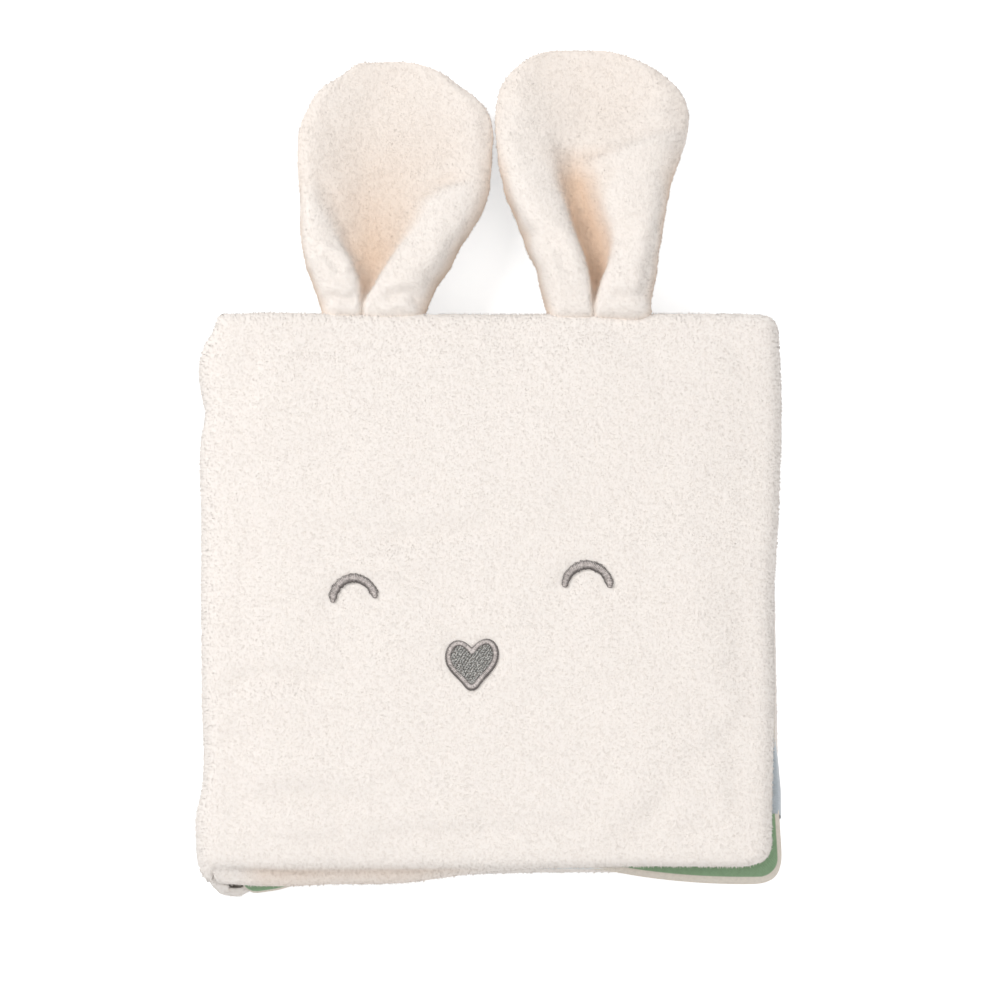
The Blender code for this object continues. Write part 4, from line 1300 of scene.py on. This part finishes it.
rng = np.random.default_rng(5)
for side, *shape in EYES:
    count = int(EYE_LENGTH / EYE_STITCH)
    line = eye_line(*shape, count)
    width = EYE_STROKE * (1 + 0.09 * rng.standard_normal(count))
    width *= 0.86 + 0.18 * np.sin(np.linspace(0.15, math.pi - 0.15, count))
    from_end = np.minimum(np.arange(count), np.arange(count)[::-1])
    width *= limited(0.6 + 0.14 * from_end)
    run, normal = across_line(line, width, 0.15)
    shift = normal * rng.normal(0, 0.06, (count, 1))
    centre = on_face(line + shift, 0.55 * MM)
    low = on_face(line, 0.25 * MM)
    flat_run = np.column_stack([run * MM, np.zeros(count)])
    sizes = (EYE_STITCH * 1.02, SATIN_RISE, 6)
    stitches = stitched(f"{side}_eye_satin_stitches", centre, flat_run, grey_thread, *sizes)
    # A dark stroke a little wider under each eye's stitches is painted shadow along their edges.
    sizes = (EYE_STITCH * 1.5, 0.6 * MM, 7)
    under = stitched(f"{side}_eye_painted_edge_shadow", low, flat_run * 1.12, painted_shadow_thread, *sizes)
    for piece in (stitches, under):
        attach(piece, "front_cover")
    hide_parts(f"{side}_eye_stitching")

border = heart_line(0.65, BORDER_STITCHES)
loop = np.vstack([border[-2:], border, border[:2]])
run, normal = across_line(loop, np.full(len(loop), BORDER_STITCH + 0.25), 0.15)
run, normal = run[2:-2], normal[2:-2]
flat_run = np.column_stack([run * MM, np.zeros(len(run))])
places, sizes = on_face(border, 0.6 * MM), (0.42 * MM, 0.85 * MM, 8)
nose_border = stitched("nose_border_satin_stitches", places, flat_run, grey_thread, *sizes)
# A dark stroke under the nose's border stitches is painted shadow along its edges.
places = on_face(heart_line(0.45, BORDER_STITCHES), 0.22 * MM)
flat_run, sizes = flat_run * 1.15, (0.5 * MM, 0.6 * MM, 9)
nose_painted_shadow = stitched("nose_border_painted_edge_shadow", places, flat_run, painted_shadow_thread, *sizes)
inner = heart_line(1.3, 80)
spots, runs = [], []
low, high = heart_line(0, 60).min(axis=0), heart_line(0, 60).max(axis=0)
for row, y in enumerate(np.arange(low[1], high[1], FILL_PITCH)):
    for x in np.arange(low[0], high[0], 0.75) + (row % 3) * 0.25:
        spot = np.array((x, y)) + rng.normal(0, 0.10, 2)
        if in_outline(spot[None], inner)[0]:
            angle = FACE_TILT + 0.3 + rng.normal(0, 0.7)
            spots.append(spot)
            runs.append((1.0 * MM * math.cos(angle), 1.0 * MM * math.sin(angle), 0))
places, sizes = on_face(np.array(spots), 0.42 * MM), (0.38 * MM, 0.6 * MM, 10)
nose_fill = stitched("nose_fill_stitches", places, runs, dark_thread, *sizes)
for piece, slot_name in (
    (nose_border, "grey_thread"),
    (nose_painted_shadow, "grey_thread"),
    (nose_fill, "dark_grey_thread"),
):
    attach(piece, "front_cover")
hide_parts("nose_border_stitching")
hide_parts("nose_fill_stitching")

# Ears: each is two layers of plush, pleated at the foot so that both sides roll in to a deep fold,
# opening to a shallow cup at the tip. They are sewn by a tab into the front cover's top seam.
EAR_EDGE_RISE = 3.0
EAR_EDGE_ROUND = 3.6
EAR_TIP_ROUND = 4.0
EAR_LEAST_HEIGHT = 0.35 * MM
EAR_STEPS = 5
EAR_SPANS = (7, 5, 6, 6, 6, 6, 5, 7)
# Each row: how far along Y, then nine places across (edge, crest and lip of the left roll, foot of
# the fold, its middle, and the same on the right), then the seven heights between the edges.
LEFT_EAR = (
    (74.6, -46.9, -43, -37.8, -36.9, -36.4, -36, -35, -25.6, -20,
     5.4, 5.3, 4.8, 4.6, 4.8, 5.3, 5.4),
    (77.4, -46.9, -42.8, -37.9, -36.9, -36.3, -35.8, -34.8, -25.4, -19.6,
     9.6, 9.4, 8.2, 7.8, 8.2, 9.4, 9.6),
    (81, -47.3, -42.6, -37.8, -36.7, -36, -35.3, -34.2, -25.2, -18.6,
     10.8, 10.4, 8.4, 7.6, 8.4, 10.4, 10.8),
    (86, -49, -44.2, -38.2, -36.4, -34.9, -33.2, -31.4, -23.8, -16.7,
     11.6, 11, 5.6, 4.2, 5.4, 11, 12),
    (92, -51, -46.4, -40.4, -37.6, -34.6, -31, -28.2, -20.6, -13.2,
     11.8, 10.4, 5, 3.2, 4.6, 10.2, 12),
    (99, -52.6, -48.2, -42.8, -39, -34.8, -28.4, -24.2, -16.8, -9.8,
     10.8, 8.8, 4.6, 2.8, 4.2, 9.2, 11.4),
    (107, -53.2, -49.4, -44.8, -39.8, -34.4, -26, -20.8, -13, -5.4,
     9.4, 7.2, 4.2, 2.6, 4, 8, 10.4),
    (114, -53.4, -50, -46, -40.2, -34.4, -25, -18, -10.4, -3,
     8.2, 6.4, 4, 2.5, 3.8, 6.6, 9),
    (119, -53.8, -50.4, -46.6, -40.4, -34.2, -24.2, -15.4, -8.4, -2.3,
     7.6, 6.2, 4, 2.5, 3.6, 5.8, 7.8),
    (127, -54, -50.8, -47.2, -40.8, -34.2, -22.6, -13, -6.8, -1.7,
     6.9, 5.9, 3.9, 2.6, 3.4, 5, 6.6),
    (135.2, -53.6, -50.5, -47.2, -40.6, -33.8, -21.6, -12, -6, -1.6,
     6.2, 5.6, 4, 2.8, 3.4, 4.7, 5.9),
    (142.6, -51.6, -49.1, -46.8, -40.2, -33.4, -20.5, -12, -7, -3.8,
     6, 5.6, 4.3, 2.9, 3.5, 4.8, 5.6),
    (148.4, -47.9, -45.9, -44, -38.4, -31.4, -21.8, -15.6, -12, -9.4,
     5.4, 5.1, 4.2, 3.2, 3.7, 4.6, 5.1),
    (152.9, -42.4, -41, -40, -36, -30, -23.6, -19.8, -17.4, -15.4,
     4.9, 4.7, 4.1, 3.6, 3.9, 4.4, 4.7),
    (155.7, -38.2, -37.2, -35.4, -33, -29.4, -25.6, -23.8, -22.6, -21.4,
     4.4, 4.2, 3.9, 3.7, 3.9, 4.1, 4.3),
    (156.9, -32, -31.5, -31, -30.5, -29.2, -28.1, -27.4, -27, -26.5,
     3.4, 3.4, 3.4, 3.4, 3.4, 3.4, 3.4),
)
RIGHT_EAR = (
    (74.6, 13.6, 17.4, 24, 25, 25.3, 25.7, 26.8, 35, 40.6,
     5.4, 5.3, 4.8, 4.6, 4.8, 5.3, 5.4),
    (77.4, 13.2, 17.2, 23.8, 24.9, 25.3, 25.8, 26.9, 35, 40.8,
     9.6, 9.4, 8.2, 7.8, 8.2, 9.4, 9.6),
    (81, 12.6, 17, 23.7, 24.7, 25.3, 26, 27.2, 35.2, 40.9,
     10.8, 10.4, 8.2, 7.4, 8.2, 10.4, 10.8),
    (86, 11.3, 16, 23.4, 24.8, 25.8, 26.8, 28.6, 35.8, 41.3,
     11.8, 11, 5.6, 4, 5.2, 10.6, 11.6),
    (92, 10, 15, 22, 24, 26.1, 28.4, 30.4, 36.8, 42.4,
     12.1, 11, 4.2, 2.2, 3.8, 10.4, 11.9),
    (99, 7.4, 12.8, 20, 22.2, 25, 28.6, 31.4, 37.8, 43.5,
     11.9, 10.6, 3.4, 1.5, 3.8, 9.6, 11.6),
    (106, 4.7, 10.2, 18.2, 20.4, 23.2, 26.8, 30.4, 38.2, 44.6,
     11.8, 10.2, 2.8, 1.1, 4, 9.1, 11.2),
    (114, 2.1, 7.8, 15.8, 19, 21.8, 25.2, 29.2, 38.6, 46,
     10.6, 8.6, 3.4, 1.8, 4.6, 8.2, 10.2),
    (122, 0.3, 5.8, 14.6, 18, 20.8, 24.2, 28.4, 39.4, 48,
     9.4, 7.6, 3.6, 2.2, 4.6, 7.4, 9.4),
    (127.6, -0.4, 4.8, 13, 17.2, 20.6, 24.6, 29.4, 40, 49.6,
     8.6, 6.8, 4, 2.8, 4.2, 6.6, 8.8),
    (132.2, -0.6, 4, 11.4, 16.6, 22, 27.6, 34, 42.6, 50.9,
     7.9, 6.4, 4.3, 3.2, 3.6, 5, 7.8),
    (140.2, -0.6, 3.4, 9.8, 15.8, 23, 30.2, 38, 45.4, 51.6,
     6.9, 5.8, 4.2, 3.2, 3.4, 4.4, 6),
    (147.1, 0.2, 3.6, 9, 14.6, 22, 29.8, 38, 44.6, 49.6,
     6.1, 5.4, 4.2, 3.4, 3.5, 4.4, 5.4),
    (153, 3.2, 5.6, 8.8, 13.4, 20.6, 28.8, 36.6, 41.2, 44.6,
     5.4, 5.1, 4.2, 3.6, 3.7, 4.4, 4.9),
    (156.9, 7.6, 9, 10.6, 14, 19.8, 26.6, 32.2, 35.4, 37.6,
     5.2, 5, 4.3, 3.7, 3.9, 4.3, 4.7),
    (159.1, 12.8, 13.8, 15.2, 17, 20.6, 24.8, 27.8, 29.4, 30.6,
     4.6, 4.5, 4.2, 3.9, 4, 4.2, 4.4),
    (160, 19, 19.4, 19.9, 20.5, 21.8, 23.1, 23.9, 24.4, 24.9,
     3.6, 3.6, 3.6, 3.6, 3.6, 3.6, 3.6),
)
# Small creases across the rolls: ends, half width and depth in millimetres.
LEFT_CREASES = (
    ((-24, 113.6), (-7, 117.4), 2.4, 0.6),
    ((-49, 97), (-42, 87), 1.6, 0.7),
    ((-46, 79.5), (-37, 82.5), 1.4, 0.7),
    ((-30, 83), (-20, 79.5), 1.8, 0.9),
)
RIGHT_CREASES = (
    ((19, 126.0), (50, 134.5), 2.6, 0.9),
    ((8, 104), (20, 87), 2.2, 0.6),
    ((30, 80), (40, 83.5), 1.8, 0.8),
    ((33, 100), (41, 105), 2.4, 0.4),
)
EAR_BACK = (
    (74.5, 13.0), (80, 12.8), (90, 11.9), (100, 11.0), (112, 9.8), (120, 8.6), (128, 6.9),
    (140, 3.4), (152, 1.1), (162, 0.8),
)
# Painted shade in each ear's deep fold: how far up it ends and over what length it fades, in
# metres, and the power of its fade.
LEFT_PAINTED_FOLD_SHADE = (0.152, 0.055, 2.0)
RIGHT_PAINTED_FOLD_SHADE = (0.130, 0.012, 1.0)


def ear_shell(name, table, creases, painted_fold_shade, finish):
    """A closed ear from its rows, rounded at its edges and rolled lips, resting on its back."""
    table = np.array(table, float)
    along, keys, rises = table[:, 0], table[:, 1:10], table[:, 10:]
    edge = np.full(len(table), EAR_EDGE_RISE)
    rises = np.column_stack([edge, rises, edge])
    rises[-1] = EAR_EDGE_RISE + 0.2
    index = np.arange(len(table), dtype=float)
    fine = np.linspace(0, len(table) - 1, (len(table) - 1) * EAR_STEPS + 1)
    keys, rises = smooth_line(fine, index, keys), smooth_line(fine, index, rises)
    y = smooth_line(fine, index, along)
    back = curve(EAR_BACK, y)[:, None]
    columns_x, columns_z, columns_back = [], [], []
    last = len(EAR_SPANS) - 1
    gaps = np.diff(keys, axis=1)
    x_slope, z_slope = np.gradient(keys, axis=1), np.gradient(rises, axis=1)
    x_slope[:, 1:-1] = np.minimum(x_slope[:, 1:-1], 2.5 * np.minimum(gaps[:, :-1], gaps[:, 1:]))
    z_slope[:, (1, -2)] = 0
    for span, steps in enumerate(EAR_SPANS):
        for step in range(steps + (span == last)):
            t = step / steps
            across = up = 3 * t**2 - 2 * t**3
            leave, arrive = t**3 - 2 * t**2 + t, t**3 - t**2
            if span == 0:
                across, up = 1 - math.cos(t * math.pi / 2), math.sin(t * math.pi / 2)
                leave = arrive = 0
            elif span == last:
                across, up = math.sin(t * math.pi / 2), 1 - math.cos(t * math.pi / 2)
                leave = arrive = 0
            x = keys[:, span] + gaps[:, span] * across
            x += x_slope[:, span] * leave + x_slope[:, span + 1] * arrive
            z = rises[:, span] + (rises[:, span + 1] - rises[:, span]) * up
            z += z_slope[:, span] * leave + z_slope[:, span + 1] * arrive
            columns_x.append(x)
            columns_z.append(z)
            out = np.minimum(x - keys[:, 0], keys[:, -1] - x) / EAR_EDGE_ROUND
            columns_back.append(EAR_EDGE_RISE * (1 - np.sqrt(1 - (1 - limited(out)) ** 2)))
    x = np.stack(columns_x, axis=1)
    rise = np.stack(columns_z, axis=1)
    behind = np.stack(columns_back, axis=1)
    tip = limited((y[-1] - y) / EAR_TIP_ROUND)[:, None]
    behind = EAR_EDGE_RISE + (behind - EAR_EDGE_RISE) * np.sqrt(1 - (1 - tip) ** 2)
    y = np.repeat(y[:, None], x.shape[1], axis=1)
    front_points = np.stack([x, y, back + rise], axis=-1)
    back_points = np.stack([x, y, back + behind], axis=-1)
    back_points[-1] = front_points[-1]
    back_points[:, 0], back_points[:, -1] = front_points[:, 0], front_points[:, -1]
    mesh = shell_mesh(name, front_points * MM, back_points * MM)
    made = placed(name, mesh, finish)
    free = values_of(mesh, "grow") * limited((points_of(mesh)[:, 1] - 0.084) / 0.006)
    padded_out(made, free, 0.4 * MM, pressure=2.0)
    subdivided(made)
    points = points_of(made.data)
    grow = values_of(made.data, "grow")
    normals = normals_of(made.data)
    sunk = wrinkled(points, creases) * grow
    soft = 0.30 * MM * uneven(points, 0.009, 3) + 0.15 * MM * uneven(points, 0.004, 4)
    points += normals * (soft * (0.4 + 0.6 * grow) - sunk)[:, None]
    points[:, 2] = np.maximum(points[:, 2], EAR_LEAST_HEIGHT)
    move_points(made.data, points)
    # Painted shade: a warm darker tone, strongest low in the hollows and all down the deep fold
    # toward the ear's foot.
    level = curve(EAR_BACK, points[:, 1] / MM) * MM
    depth = 1 - limited((points[:, 2] - level - 2.6 * MM) / (6.5 * MM))
    from_foot = limited((painted_fold_shade[0] - points[:, 1]) / painted_fold_shade[1]) ** painted_fold_shade[2]
    keep_values(made.data, "painted_fold_shade", depth * (0.16 + 0.79 * from_foot) * grow)
    return made


ear_plush = plush_finish("ear plush", (0.97, 0.905, 0.85), (0.90, 0.80, 0.71))
for side, table, creases, painted_fold_shade in (
    ("left", LEFT_EAR, LEFT_CREASES, LEFT_PAINTED_FOLD_SHADE),
    ("right", RIGHT_EAR, RIGHT_CREASES, RIGHT_PAINTED_FOLD_SHADE),
):
    ear = ear_shell(f"{side}_ear_padded_plush", table, creases, painted_fold_shade, ear_plush)
    keep_values(ear.data, "pile", np.full(len(ear.data.vertices), 0.85))
    ear_pile = pile_on(ear, f"{side}_ear_plush_pile", 21, **{"Nap": (0.0, 0.3, 0.0)})
    above_table(ear_pile, 0.1 * MM)
    for piece in (ear, ear_pile):
        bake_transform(piece)
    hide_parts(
        f"{side}_ear_back_plush", f"{side}_ear_front_plush", f"{side}_ear_seam_tab"
    )
